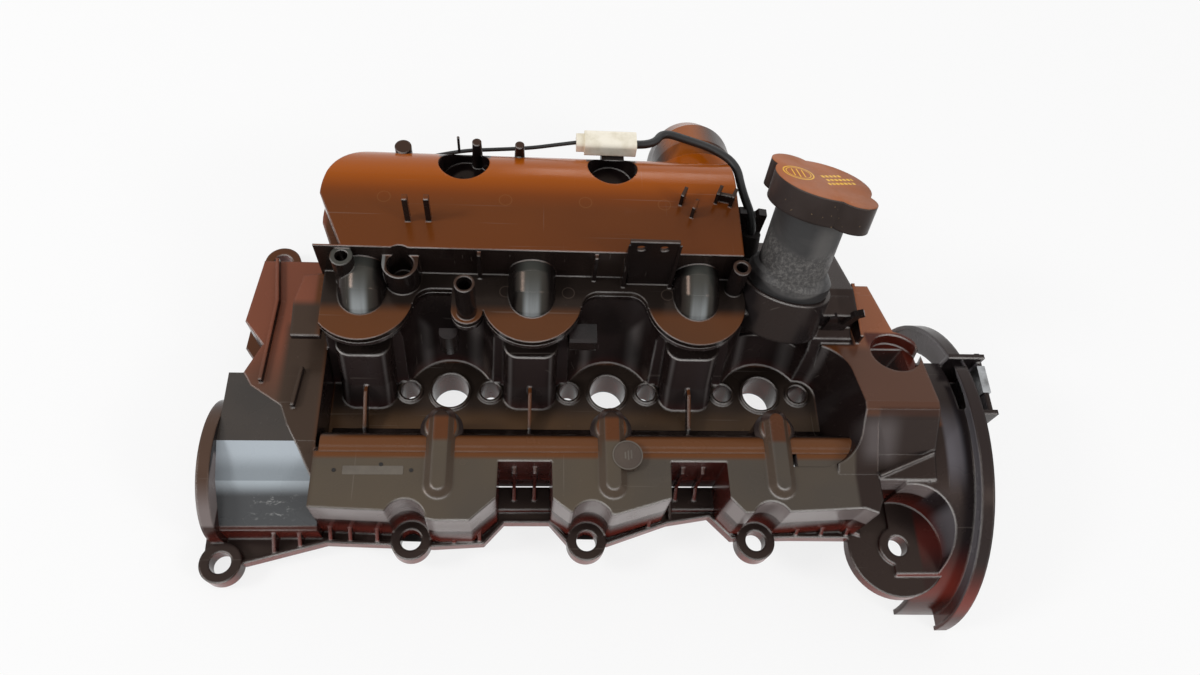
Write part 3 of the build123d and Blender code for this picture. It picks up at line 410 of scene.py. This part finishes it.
def body_levels(make):
    """Level faces of the cover, with the painted warm reflection that lies on them."""
    y, z = make.place.outputs["Y"], make.place.outputs["Z"]
    cloud = make.span(make.noise(10.0, 3.0), 0.35, 0.7)
    flat = make.blend(cloud, srgb(92, 52, 26), srgb(78, 46, 30))
    # painted shade on the valley floor
    valley = zone(make, (VALLEY_LEFT, -0.05, None), (VALLEY_RIGHT, 0.02, 0.03))
    flat = make.blend(valley, flat, srgb(36, 29, 25))
    # painted warm reflection in a band across the valley floor
    warm_band = both(make, valley, make.span(y, -0.008, -0.022))
    flat = make.blend(warm_band, flat, make.blend(cloud, srgb(84, 60, 38), srgb(62, 50, 38)))
    # painted dark band of shade near the front of the valley
    dark_band = both(make, valley, make.span(y, -0.0375, -0.0405))
    flat = make.blend(dark_band, flat, srgb(28, 20, 18))
    # painted olive-grey reflection on the rail's top
    rail = zone(make, (-0.17, None, 0.045), (0.155, -0.044, None))
    flat = make.blend(rail, flat, make.blend(cloud, srgb(85, 76, 64), srgb(73, 68, 62)))
    # painted brown reflection along the rail's rear edge
    rear_band = both(make, rail, make.span(y, -0.0545, -0.0515), make.span(z, 0.0545, 0.0535))
    flat = make.blend(rear_band, flat, BROWN_REFLECTION)
    ledges = zone(make, (VALLEY_LEFT, -0.03, 0.055), (0.085, 0.048, 0.068))
    flat = make.blend(ledges, flat, srgb(30, 24, 22))
    flange = zone(make, (None, None, None), (None, -0.05, 0.03))
    flat = make.blend(flange, flat, srgb(44, 36, 34))
    # painted reflection on the plate, lighter towards the rear
    plate = zone(make, (0.138, -0.03, 0.035), (None, None, None))
    plate_reflection = make.blend(make.span(y, 0.012, 0.03), srgb(84, 56, 44), srgb(150, 90, 60))
    flat = make.blend(plate, flat, plate_reflection)
    shelf = zone(make, (0.152, -0.066, 0.035), (0.19, -0.028, None))
    flat = make.blend(shelf, flat, srgb(58, 34, 26))
    # painted reflection on the left block, lighter towards the rear
    block = zone(make, (None, -0.09, 0.03), (-0.17, None, None))
    block_reflection = make.blend(make.span(y, 0.03, -0.03), srgb(122, 70, 52), srgb(76, 58, 48))
    flat = make.blend(block, flat, block_reflection)
    left_step = zone(make, (-0.19, -0.09, 0.03), (VALLEY_LEFT, 0.03, None), 0.003)
    flat = make.blend(left_step, flat, srgb(60, 48, 40))
    rail_end = zone(make, (0.138, None, 0.03), (0.2, -0.032, 0.068))
    neck_foot = zone(make, (0.07, 0.018, 0.03), (0.149, None, 0.0795))
    return make.blend(make.math("MAXIMUM", rail_end, neck_foot), flat, srgb(36, 29, 28))


def guard_rim(make):
    """Rim and inside of the belt guard: grey above, painted red reflection below, with painted soft
    reflections.
    """
    x, y, z = (make.place.outputs[axis] for axis in "XYZ")
    rim = make.blend(make.span(z, 0.02, -0.02), srgb(36, 31, 32), srgb(64, 22, 16))
    sheen = make.band(make.dot(make.coords.outputs["Normal"], (-0.97, -0.2, 0.1)), 0.9, 1.1, 0.06)
    rim = make.thin(rim, both(make, sheen, make.span(z, -0.02, 0.03)), srgb(124, 120, 124), 0.5)
    inner = make.span(x, 0.209, 0.204)
    # painted pale reflection on the guard's inner face
    patch = both(make, make.band(y, -0.062, -0.026, 0.012), make.span(z, -0.004, 0.008), inner)
    rim = make.thin(rim, patch, srgb(104, 102, 108), 0.7)
    # painted red reflection in the dish
    dish = both(make, make.band(y, -0.1, -0.075, 0.01), make.span(z, 0.02, 0.005), inner)
    return make.thin(rim, dish, srgb(120, 40, 30), 0.5)


def body_finish():
    """Black glossy moulding of the cover."""
    material, shader, make = new_material("body_moulding", 0.24, 0.0, 0.22, WARM_TINT)
    up = make.facing.outputs["Z"]
    x, y, z = (make.place.outputs[axis] for axis in "XYZ")
    colour = make.blend(make.span(up, 0.6, 0.95), body_walls(make), body_levels(make))
    # painted dark red shade inside the hole in the right plate
    hole = zone(make, (0.157, -0.003, None), (0.189, 0.029, 0.0575))
    colour = make.blend(hole, colour, srgb(74, 28, 20))
    collar = zone(make, (0.074, 0.01, 0.0675), (0.135, 0.085, 0.1))
    # painted light: the collar lighter where it faces up
    collar_shading = make.blend(make.span(up, 0.5, 0.9), srgb(34, 30, 30), srgb(46, 38, 36))
    colour = make.blend(collar, colour, collar_shading)
    guard = make.math("MAXIMUM", zone(make, (0.196, None, None), (None, None, None)),
                      zone(make, (0.187, None, None), (None, None, 0.044)))
    colour = make.blend(guard, colour, guard_rim(make))
    # painted pale sheen on the knee beside the shelf
    knee = both(make, make.band(x, 0.143, 0.163, 0.006), make.band(y, -0.054, -0.034, 0.006),
                make.span(z, 0.045, 0.052))
    colour = make.thin(colour, knee, srgb(104, 98, 98), 0.6)
    gloss(make, shader, colour, 0.19, 0.1, 0.8)
    return material


def roof_posts(make):
    """Mask of all that stands up from the manifold's roof and from the seat in front of it."""
    x, y = make.place.outputs["X"], make.place.outputs["Y"]
    mask = zone(make, (None, 0.08, 0.1064), (None, None, None), 0.0003)
    for centre_x, centre_y, radius in ((-0.126, 0.1265, 0.005), (-0.082, 0.126, 0.0036),
                                       (-0.0565, 0.125, 0.0036)):
        spot = make.away(x, y, centre_x, centre_y)
        mask = make.math("MAXIMUM", mask, make.span(spot, radius + 0.0004, radius + 0.0001))
    return make.math("MAXIMUM", mask, zone(make, (None, None, 0.0808), (None, 0.0482, None), 0.0003))


def shell_finish():
    """Black glossy moulding of the manifold, with painted reflections: brown on the roof, orange on the far
    side, silvery on the runner hoods.
    """
    material, shader, make = new_material("shell_moulding", 0.22, 0.0, 0.18, WARM_TINT)
    up, side = make.facing.outputs["Z"], make.facing.outputs["X"]
    x, y, z = (make.place.outputs[axis] for axis in "XYZ")
    level = make.span(up, 0.5, 0.95)
    # painted faint sheen in streaks on the walls
    streak = make.span(make.noise(22.0, 3.0, 0.5, (1.0, 1.0, 0.3)), 0.45, 0.75)
    wall = make.blend(streak, srgb(28, 21, 19), srgb(44, 36, 32))
    # painted brown reflection on the end walls at the rear
    ends = make.math("ADD", make.span(side, -0.8, -0.97), make.span(side, 0.8, 0.97))
    wall = make.thin(wall, both(make, ends, make.span(y, 0.047, 0.05)), srgb(92, 58, 40), 0.5)
    # painted brown reflection on the roof, orange towards the rear, and on the seat in front of it, with
    # painted shade near the wall
    cloud = make.span(make.noise(8.0, 3.0), 0.35, 0.7)
    roof = make.blend(cloud, srgb(100, 52, 20), srgb(92, 47, 19))
    roof = make.blend(make.span(y, 0.075, 0.097), roof, srgb(124, 58, 10))
    seat = make.blend(cloud, srgb(96, 56, 30), srgb(84, 52, 32))
    seat = make.blend(make.span(y, 0.021, 0.03), seat, srgb(34, 28, 25))
    flat = make.blend(zone(make, (None, None, 0.09), (None, None, None)), seat, roof)
    # faint round marks, a row on the seat and a row on the roof
    for centre in (-0.063, -0.027, 0.031):
        ring = make.ring(x, y, centre, 0.0375, 0.0035, 0.00025)
        flat = make.thin(flat, ring, srgb(92, 80, 72), 0.4)
    for centre in (-0.1325, -0.064, -0.018, 0.028):
        ring = make.ring(x, y, centre, 0.083, 0.0036, 0.0002)
        flat = make.thin(flat, ring, srgb(140, 96, 56), 0.3)
    colour = make.blend(level, wall, flat)
    # painted orange reflection where the rear of the roof rolls down
    rear = zone(make, (None, None, 0.0765), (None, None, None))
    roll = both(make, make.span(y, 0.085, 0.105), make.span(up, 0.0, 0.3), rear)
    colour = make.blend(roll, colour, srgb(160, 80, 14))
    # painted light: the posts' tops lighter than their sides
    post_shading = make.blend(level, srgb(26, 21, 20), srgb(58, 42, 34))
    colour = make.blend(roof_posts(make), colour, post_shading)
    # pockets in the roof get painted shade inside
    for centre in POCKET_X:
        pocket = zone(make, (centre - 0.0152, 0.0965, None), (centre + 0.0152, 0.1274, 0.101), 0.0006)
        inner = make.math("MULTIPLY", pocket, make.span(z, 0.1005, 0.097))
        colour = make.blend(inner, colour, srgb(24, 17, 17))
    # hoods: painted silvery reflection along the ridge, black at the flanks, with a painted sheen low down
    # and a painted highlight at the top
    for centre in HOOD_X:
        hood = zone(make, (centre - 0.0142, None, 0.0806), (centre + 0.0142, 0.0488, 0.1045), 0.0005)
        hood = both(make, hood, make.span(up, 0.02, 0.2))
        ridge = both(make, make.span(side, -0.8, -0.15), make.span(side, 0.8, 0.15))
        hood_reflection = make.blend(ridge, srgb(22, 18, 17), srgb(66, 67, 63))
        sheen = both(make, make.span(z, 0.0965, 0.0835), make.band(side, -0.32, 0.3, 0.12))
        broken = make.span(make.noise(70.0, 2.0, 0.4, (3.0, 0.2, 0.2)), 0.3, 0.6, 0.4, 1.0)
        hood_reflection = make.blend(both(make, sheen, broken), hood_reflection, srgb(140, 145, 146))
        tip = both(make, make.band(z, 0.0985, 0.1005, 0.0012), make.span(side, -0.75, -0.4),
                   make.span(side, 0.75, 0.4))
        hood_reflection = make.thin(hood_reflection, tip, srgb(228, 228, 226), 0.85)
        colour = make.blend(hood, colour, hood_reflection)
    gloss(make, shader, colour, 0.15, 0.05, 0.4, 0.7, 0.0014)
    return material


def slope_finish():
    """Rear slope of the cam tunnel: painted brown reflection along its top, black below with a faint
    painted sheen.
    """
    material, shader, make = new_material("rear_slope", 0.2, 0.0, 0.3, WARM_TINT)
    streak = make.span(make.noise(18.0, 3.0, 0.5, (1.0, 0.3, 0.3)), 0.4, 0.7)
    dark = make.blend(streak, srgb(26, 20, 19), srgb(46, 38, 35))
    colour = make.blend(make.span(make.place.outputs["Z"], 0.0500, 0.0516), dark, BROWN_REFLECTION)
    gloss(make, shader, colour, 0.17, 0.05, 0.0, 0.2)
    return material


def plain(name, colour, rough, other=None, scale=60.0, specular=0.45, metal=0.0):
    """Plain moulded, rubber or metal finish with soft variation and fine grain."""
    material, shader, make = new_material(name, rough, metal, specular)
    other = other or tuple(v * 0.7 for v in colour[:3]) + (1.0,)
    mixed = make.blend(make.span(make.noise(scale, 4.0, 0.6), 0.35, 0.7), colour, other)
    uneven = make.span(make.noise(scale * 0.7, 3.0), 0.3, 0.7, rough - 0.06, rough + 0.1)
    make.paint(shader, mixed, uneven, make.noise(900.0, 2.0))
    return material


def end_finish():
    """Smooth cover over the left end: its upper slope has a painted reflection of a bright sky, its lower
    slope a painted bright band fading to grey, with scuffs.
    """
    material, shader, make = new_material("end_finish", 0.28, 0.0, 0.3)
    tilt = make.facing.outputs["Y"]
    z = make.place.outputs["Z"]
    grey = make.blend(make.span(make.noise(14.0, 4.0), 0.3, 0.7), srgb(64, 56, 50), srgb(54, 49, 45))
    upper = make.blend(make.span(z, 0.0475, 0.043), srgb(176, 184, 190), srgb(138, 145, 150))
    colour = make.blend(make.span(tilt, -0.12, -0.34), grey, upper)
    lower = make.blend(make.span(z, 0.041, 0.034), srgb(170, 178, 183), srgb(70, 71, 72))
    scuffs = make.span(make.noise(150.0, 6.0, 0.8, (1.0, 2.0, 2.0)), 0.56, 0.66)
    patch = zone(make, (-0.2, None, 0.024), (-0.176, None, 0.036), 0.004)
    lower = make.blend(both(make, patch, scuffs), lower, srgb(150, 150, 148))
    colour = make.blend(make.span(tilt, -0.5, -0.64), colour, lower)
    # painted dark red reflection towards the bottom
    colour = make.thin(colour, make.span(z, 0.02, 0.0), srgb(60, 32, 28), 0.9)
    colour = make.thin(colour, make.specks(0.68, 0.78), srgb(160, 152, 142), 0.12)
    uneven = make.span(make.noise(40.0, 4.0), 0.3, 0.75, 0.2, 0.36)
    make.paint(shader, colour, uneven, make.noise(900.0, 2.0))
    return material


def duct_finish():
    """Inlet duct: painted orange-brown reflection on top, black round its sides."""
    material, shader, make = new_material("duct_finish", 0.26, 0.0, 0.2, WARM_TINT)
    ragged = make.span(make.noise(14.0, 3.0), 0.3, 0.7, -0.08, 0.08)
    up = make.math("ADD", make.facing.outputs["Z"], ragged)
    colour = make.blend(make.span(up, 0.35, 0.9), srgb(34, 27, 26), srgb(146, 76, 20))
    right_end = make.span(make.place.outputs["X"], 0.052, 0.07)
    colour = make.blend(right_end, colour, srgb(44, 32, 28))
    colour = make.thin(colour, make.specks(0.69, 0.78), DUST, 0.1)
    uneven = make.span(make.noise(40.0, 4.0), 0.3, 0.75, 0.2, 0.36)
    make.paint(shader, colour, uneven, make.noise(1100.0, 2.0))
    return material


def neck_finish():
    """Satin black neck, with a painted highlight on one side, a dusty, speckled belt under the cap, a
    painted shadow below the belt and worn rows at its foot.
    """
    material, shader, make = new_material("neck_finish", 0.45, 0.0, 0.3)
    z = make.place.outputs["Z"]
    shade = make.span(make.noise(30.0, 4.0, 0.6, (1.0, 1.0, 3.0)), 0.35, 0.7)
    colour = make.blend(shade, srgb(50, 49, 49), srgb(64, 62, 61))
    # painted highlight on the side that faces right
    lit = make.band(make.facing.outputs["X"], 0.0, 0.55, 0.2)
    colour = make.thin(colour, lit, srgb(104, 101, 98), 0.5)
    speckle = make.span(make.noise(520.0, 5.0, 0.8), 0.42, 0.66)
    dusty = make.blend(speckle, srgb(62, 60, 59), srgb(104, 101, 98))
    belt = both(make, make.span(z, 0.094, 0.1), make.span(z, 0.116, 0.11))
    colour = make.blend(belt, colour, dusty)
    # painted shadow below the belt
    shadow_band = both(make, make.span(z, 0.087, 0.089), make.span(z, 0.096, 0.094))
    colour = make.blend(shadow_band, colour, srgb(34, 32, 32))
    rows = make.span(make.noise(120.0, 3.0, 0.6, (1.0, 1.0, 4.0)), 0.6, 0.7)
    colour = make.blend(both(make, make.span(z, 0.09, 0.087), rows), colour, srgb(104, 102, 100))
    uneven = make.span(make.noise(60.0, 3.0), 0.3, 0.7, 0.38, 0.6)
    make.paint(shader, colour, uneven, make.noise(700.0, 3.0), 0.16, 0.0004)
    return material


cap_axis = Vector((math.sin(math.radians(CAP_LEAN_X)), math.sin(math.radians(CAP_LEAN_Y)), 0.0))
cap_axis.z = math.sqrt(1.0 - cap_axis.length_squared)
cap_right = (Vector((1.0, 0.0, 0.0)) - cap_axis * cap_axis.x).normalized()
cap_back = cap_axis.cross(cap_right)
cap_middle = CAP_FOOT + cap_axis * CAP_HEIGHT


def cap_print(make, across, along):
    """Mask of the plain print: a double ring with three bars in it, and three rows of dashes."""
    ink = make.ring(across, along, *PRINT_RING, 0.0088, 0.00035)
    ink = make.math("MAXIMUM", ink, make.ring(across, along, *PRINT_RING, 0.0072, 0.00022))
    dx = make.math("SUBTRACT", across, PRINT_RING[0])
    dy = make.math("SUBTRACT", along, PRINT_RING[1])
    for shift in (-0.003, 0.0, 0.003):
        half = math.sqrt(0.0058**2 - shift**2)
        bar = both(make, make.band(dx, shift - 0.0003, shift + 0.0003, 0.00015),
                   make.band(dy, -half, half, 0.0002))
        ink = make.math("MAXIMUM", ink, bar)
    slant = make.math("ADD", make.math("MULTIPLY", along, PRINT_COS),
                      make.math("MULTIPLY", across, -PRINT_SIN))
    run = make.math("ADD", make.math("MULTIPLY", across, PRINT_COS),
                    make.math("MULTIPLY", along, PRINT_SIN))
    # the 1.0 keeps the run above zero, where the dashes repeat evenly
    dashes = make.span(make.math("PINGPONG", make.math("ADD", run, 1.0), 0.0015), 0.0004, 0.0007)
    for row, start, end in ((0.0048, 0.0015, 0.017), (0.0, 0.0025, 0.0215), (-0.0048, 0.0, 0.0195)):
        strip = both(make, make.band(slant, row - 0.0013, row + 0.0013, 0.0002),
                     make.band(run, start, end, 0.0004), dashes)
        ink = make.math("MAXIMUM", ink, strip)
    return ink


def cap_finish():
    """Filler cap: painted brown-orange reflection and a plain yellow print on its top, black sides with a
    faint painted sheen.
    """
    material, shader, make = new_material("cap_finish", 0.34, 0.0, 0.2, WARM_TINT)
    place, normal = make.coords.outputs["Object"], make.coords.outputs["Normal"]
    # painted brown-orange reflection on the top, oranger to the left
    dust_and_reflection = make.blend(make.span(make.place.outputs["X"], 0.112, 0.165), srgb(164, 84, 14), srgb(96, 50, 22))
    dust_and_reflection = make.thin(dust_and_reflection, make.span(make.noise(30.0, 4.0), 0.4, 0.7), srgb(110, 60, 24), 0.35)
    across = make.math("SUBTRACT", make.dot(place, cap_right), cap_middle.dot(cap_right))
    along = make.math("SUBTRACT", make.dot(place, cap_back), cap_middle.dot(cap_back))
    worn = make.span(make.noise(300.0, 3.0), 0.3, 0.45, 0.6, 1.0)
    ink = both(make, cap_print(make, across, along), worn)
    dust_and_reflection = make.blend(ink, dust_and_reflection, srgb(250, 196, 44))
    side = make.blend(make.span(make.noise(24.0, 4.0), 0.35, 0.7), srgb(52, 46, 45), srgb(36, 31, 30))
    colour = make.blend(make.span(make.dot(normal, cap_axis), 0.9, 0.985), side, dust_and_reflection)
    # painted highlights along the rounded edges
    smooth, edges = rounded(make, 0.0018)
    lit = make.span(make.dot(smooth, (-0.2, -0.35, 0.9)), 0.75, 0.95)
    colour = make.thin(colour, both(make, edges, lit), srgb(150, 140, 134), 0.35)
    colour = make.thin(colour, make.specks(0.68, 0.76, 380.0), srgb(190, 160, 120), 0.3)
    uneven = make.span(make.noise(50.0, 3.0), 0.3, 0.7, 0.28, 0.46)
    make.paint(shader, colour, uneven, make.noise(1500.0, 2.0), 0.12, normal=smooth)
    return material


def put(material, *names):
    """Give a material to nodes of the frame."""
    for name in names:
        node = nodes[name]
        node.data.materials.clear()
        node.data.materials.append(material)


body = body_finish()
shell = shell_finish()
put(body, "cover_body", "oil_baffle")
put(shell, "manifold_shell")
put(end_finish(), "end_cover")
put(duct_finish(), "inlet_duct")
put(neck_finish(), "filler_neck")
put(cap_finish(), "filler_cap")
put(plain("plug_finish", srgb(34, 33, 33), 0.5), "cap_plug")
put(plain("seal_finish", srgb(26, 26, 26), 0.7), "cap_seal", "neck_seal")
put(plain("gasket_finish", srgb(34, 33, 32), 0.75), "cover_gasket",
    *[f"injector_well_seal_{i}" for i in (1, 2, 3)], *[f"port_seal_{i}" for i in (1, 2, 3)])
put(plain("nut_finish", srgb(176, 178, 180), 0.34, srgb(120, 120, 120), 90.0, metal=1.0), "clip_nut")
put(plain("clip_finish", srgb(38, 34, 32), 0.42), "connector_clip", "temperature_sensor")
put(plain("connector_finish", srgb(250, 242, 224), 0.4, srgb(226, 216, 192), 80.0), "connector")

# finishes of the added pieces
slope_paint = slope_finish()
bump_paint = plain("bump_finish", srgb(40, 32, 31), 0.25, srgb(26, 21, 20), specular=0.3)
foot_paint = plain("pocket_foot_finish", POCKET_RED_SHADE, 0.3, srgb(42, 18, 16), specular=0.2)
label_paint = plain("label_finish", srgb(104, 96, 86), 0.3, srgb(92, 84, 76), specular=0.3)
dot_paint = plain("dot_finish", srgb(36, 32, 30), 0.3, specular=0.3)
stamp_paint = plain("stamp_finish", srgb(84, 72, 62), 0.25, srgb(74, 62, 54), specular=0.3)
cable_paint = plain("cable_finish", srgb(26, 25, 25), 0.5)


# --- pieces that the solids leave out -------------------------------------------
def prism(name, outline, plane, start, end, material):
    """Piece with a straight run: its outline lies in the named plane."""
    order = {"YZ": (2, 0, 1), "XZ": (0, 2, 1), "XY": (0, 1, 2)}[plane]
    count = len(outline)
    verts = [[(*point, depth)[i] for i in order] for depth in (start, end) for point in outline]
    faces = [list(range(count)), list(range(2 * count - 1, count - 1, -1))]
    faces += [(i, count + i, count + (i + 1) % count, (i + 1) % count) for i in range(count)]
    piece = mesh_object(name, verts, faces)
    work = bmesh.new()
    work.from_mesh(piece.data)
    bmesh.ops.recalc_face_normals(work, faces=work.faces)
    work.to_mesh(piece.data)
    work.free()
    piece.data.materials.append(material)
    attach(piece, "cover")


def circle(x, y, radius, count=40):
    """Points round a circle in plan."""
    turns = [math.tau * i / count for i in range(count)]
    return [(x + radius * math.cos(turn), y + radius * math.sin(turn)) for turn in turns]


# rear slope of the cam tunnel, down to the valley floor
slope_line = [
    (-0.0500, 0.0515), (-0.0500, 0.0521), (-0.0436, 0.0521), (-0.0412, 0.0516), (-0.0390, 0.0503),
    (-0.0372, 0.0478), (-0.0350, 0.0420), (-0.0330, 0.0350), (-0.0308, 0.0290), (-0.0280, 0.0245),
    (-0.0245, 0.0222), (-0.0240, 0.0215), (-0.0465, 0.0215), (-0.0465, 0.0515),
]
end_line = [(-0.0600, 0.0460), (-0.0600, 0.0519), (-0.0480, 0.0519), (-0.0460, 0.0510), (-0.0455, 0.0460)]
prism("rear_slope", slope_line, "YZ", -0.1635, 0.1460, slope_paint)
prism("rear_slope_end", end_line, "YZ", 0.1050, 0.1470, body)

# walls at the foot of the two front pockets
foot_line = [(-0.0552, 0.0075), (-0.0552, 0.0192), (-0.0535, 0.0196), (-0.0522, 0.0186), (-0.0522, 0.0075)]
prism("pocket_foot_left", foot_line, "YZ", -0.0662, -0.0348, foot_paint)
prism("pocket_foot_right", foot_line, "YZ", 0.0310, 0.0646, foot_paint)

# wall under the neck's collar, between the valley and the hollow behind it
neck_line = [(0.0740, 0.0400), (0.0740, 0.0640), (0.0800, 0.0680), (0.1000, 0.0660), (0.1000, 0.0400)]
prism("neck_wall", neck_line, "XZ", 0.0308, 0.0332, bump_paint)

# bare plate for a label, with a dot at each end and one behind it
label_line = [
    (-0.1490, -0.0630), (-0.1172, -0.0630), (-0.1168, -0.0626), (-0.1168, -0.0584),
    (-0.1172, -0.0580), (-0.1490, -0.0580), (-0.1494, -0.0584), (-0.1494, -0.0626),
]
prism("label_plate", label_line, "XY", 0.0519, 0.0522, label_paint)
for name, x, y in (("label_dot_left", -0.1540, -0.0605), ("label_dot_right", -0.1125, -0.0605),
                   ("label_dot_middle", -0.1290, -0.0572)):
    prism(name, circle(x, y, 0.0011, 20), "XY", 0.0519, 0.0523, dot_paint)

# round date stamp on the middle hump: disc, raised rim and three bars
stamp_line = circle(STAMP_X, STAMP_Y, STAMP_RADIUS)
prism("stamp_disc", stamp_line, "XY", 0.0515, 0.0561, stamp_paint)
outer = circle(STAMP_X, STAMP_Y, STAMP_RADIUS, STAMP_SIDES)
inner = circle(STAMP_X, STAMP_Y, STAMP_HOLE, STAMP_SIDES)
verts = [(x, y, z) for z in (0.0559, 0.0564) for line in (outer, inner) for x, y in line]
low_outer, low_inner, high_outer, high_inner = (STAMP_SIDES * i for i in range(4))
faces = []
for i in range(STAMP_SIDES):
    j = (i + 1) % STAMP_SIDES
    for a, b in ((low_outer, high_outer), (high_outer, high_inner)):
        faces.append((a + i, a + j, b + j, b + i))
    for a, b in ((low_inner, high_inner), (low_outer, low_inner)):
        faces.append((a + j, a + i, b + i, b + j))
stamp = mesh_object("stamp_rim", verts, faces)
stamp.data.materials.append(label_paint)
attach(stamp, "cover")
for i, (near, far) in enumerate(((-0.0022, 0.0018), (-0.0028, 0.0026), (-0.0020, 0.0030))):
    left = 0.0050 + 0.0017 * i
    right = left + 0.0009
    front, back = STAMP_Y + near, STAMP_Y + far
    bar = [(left, front), (right, front), (right, back), (left, back)]
    prism(f"stamp_bar_{i}", bar, "XY", 0.0559, 0.0562, label_paint)

# box and half-round bump on the scallop walls
box_line = [
    (0.0235, 0.0560), (0.0135, 0.0560), (0.0118, 0.0575), (0.0112, 0.0600),
    (0.0118, 0.0670), (0.0135, 0.0685), (0.0235, 0.0685),
]
prism("wall_box", box_line, "YZ", -0.0258, -0.0098, bump_paint)
bump_line = [(-0.0960 + 0.0052 * math.cos(math.pi * i / 12), 0.0185 - 0.0042 * math.sin(math.pi * i / 12))
             for i in range(13)]
bump_line += [(-0.1012, 0.0215), (-0.0908, 0.0215)]
prism("wall_bump", bump_line, "XY", 0.0440, 0.0640, bump_paint)

# U-shaped bracket beside the neck
bracket_line = [
    (0.1270, 0.0560), (0.1290, 0.0750), (0.1330, 0.0765), (0.1352, 0.0700), (0.1385, 0.0685),
    (0.1425, 0.0790), (0.1475, 0.0815), (0.1490, 0.0790), (0.1462, 0.0770), (0.1420, 0.0660),
    (0.1405, 0.0560),
]
prism("side_bracket", bracket_line, "XZ", 0.0260, 0.0300, bump_paint)

# notched block behind the neck and a thin pin on the roof's rear edge
block_line = [
    (0.0760, 0.0600), (0.0760, 0.0840), (0.0790, 0.0860), (0.0830, 0.0860), (0.0845, 0.0820),
    (0.0895, 0.0820), (0.0910, 0.0850), (0.0960, 0.0840), (0.0960, 0.0560),
]
prism("rear_block", block_line, "XZ", 0.0930, 0.0980, bump_paint)
pin_line = circle(-0.0927, 0.1250, 0.0008, 12)
prism("roof_pin", pin_line, "XY", 0.0960, 0.1090, shell)


# --- cords ----------------------------------------------------------------------
def cord_line(name, points, diameter):
    """Round cord whose control points are the route's points."""
    data = bpy.data.curves.new(name, "CURVE")
    data.dimensions = "3D"
    data.bevel_depth = diameter / 2
    data.bevel_resolution = 4
    data.resolution_u = 10
    data.use_fill_caps = True
    spline = data.splines.new("NURBS")
    spline.points.add(len(points) - 1)
    for point, place in zip(spline.points, points):
        point.co = (*place, 1.0)
    spline.order_u = 3
    spline.use_endpoint_u = True
    piece = bpy.data.objects.new(name, data)
    scene.collection.objects.link(piece)
    data.materials.append(cable_paint)
    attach(piece, "cover")
    return piece


# sensor cable, from the connector's right end to the temperature sensor behind the neck
cable_route = [
    (0.0152, 0.1365, 0.0945), (0.0260, 0.1365, 0.0945), (0.0330, 0.1490, 0.0925),
    (0.0480, 0.1440, 0.0920), (0.0640, 0.1360, 0.0940), (0.0780, 0.1250, 0.0930),
    (0.0795, 0.1060, 0.0920), (0.0880, 0.0917, 0.0806), (0.0880, 0.0876, 0.0728),
]
cable = cord_line("sensor_lead", cable_route, 0.0052)
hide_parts("sensor_cable")
# thin wire, from the connector's left end along the roof's rear edge
lead_route = [
    (-0.0218, 0.1365, 0.0945), (-0.0330, 0.1368, 0.0915), (-0.0500, 0.1345, 0.0900),
    (-0.0720, 0.1330, 0.0892), (-0.0920, 0.1315, 0.0890), (-0.1080, 0.1275, 0.0880),
]
lead = cord_line("thin_lead", lead_route, 0.0024)
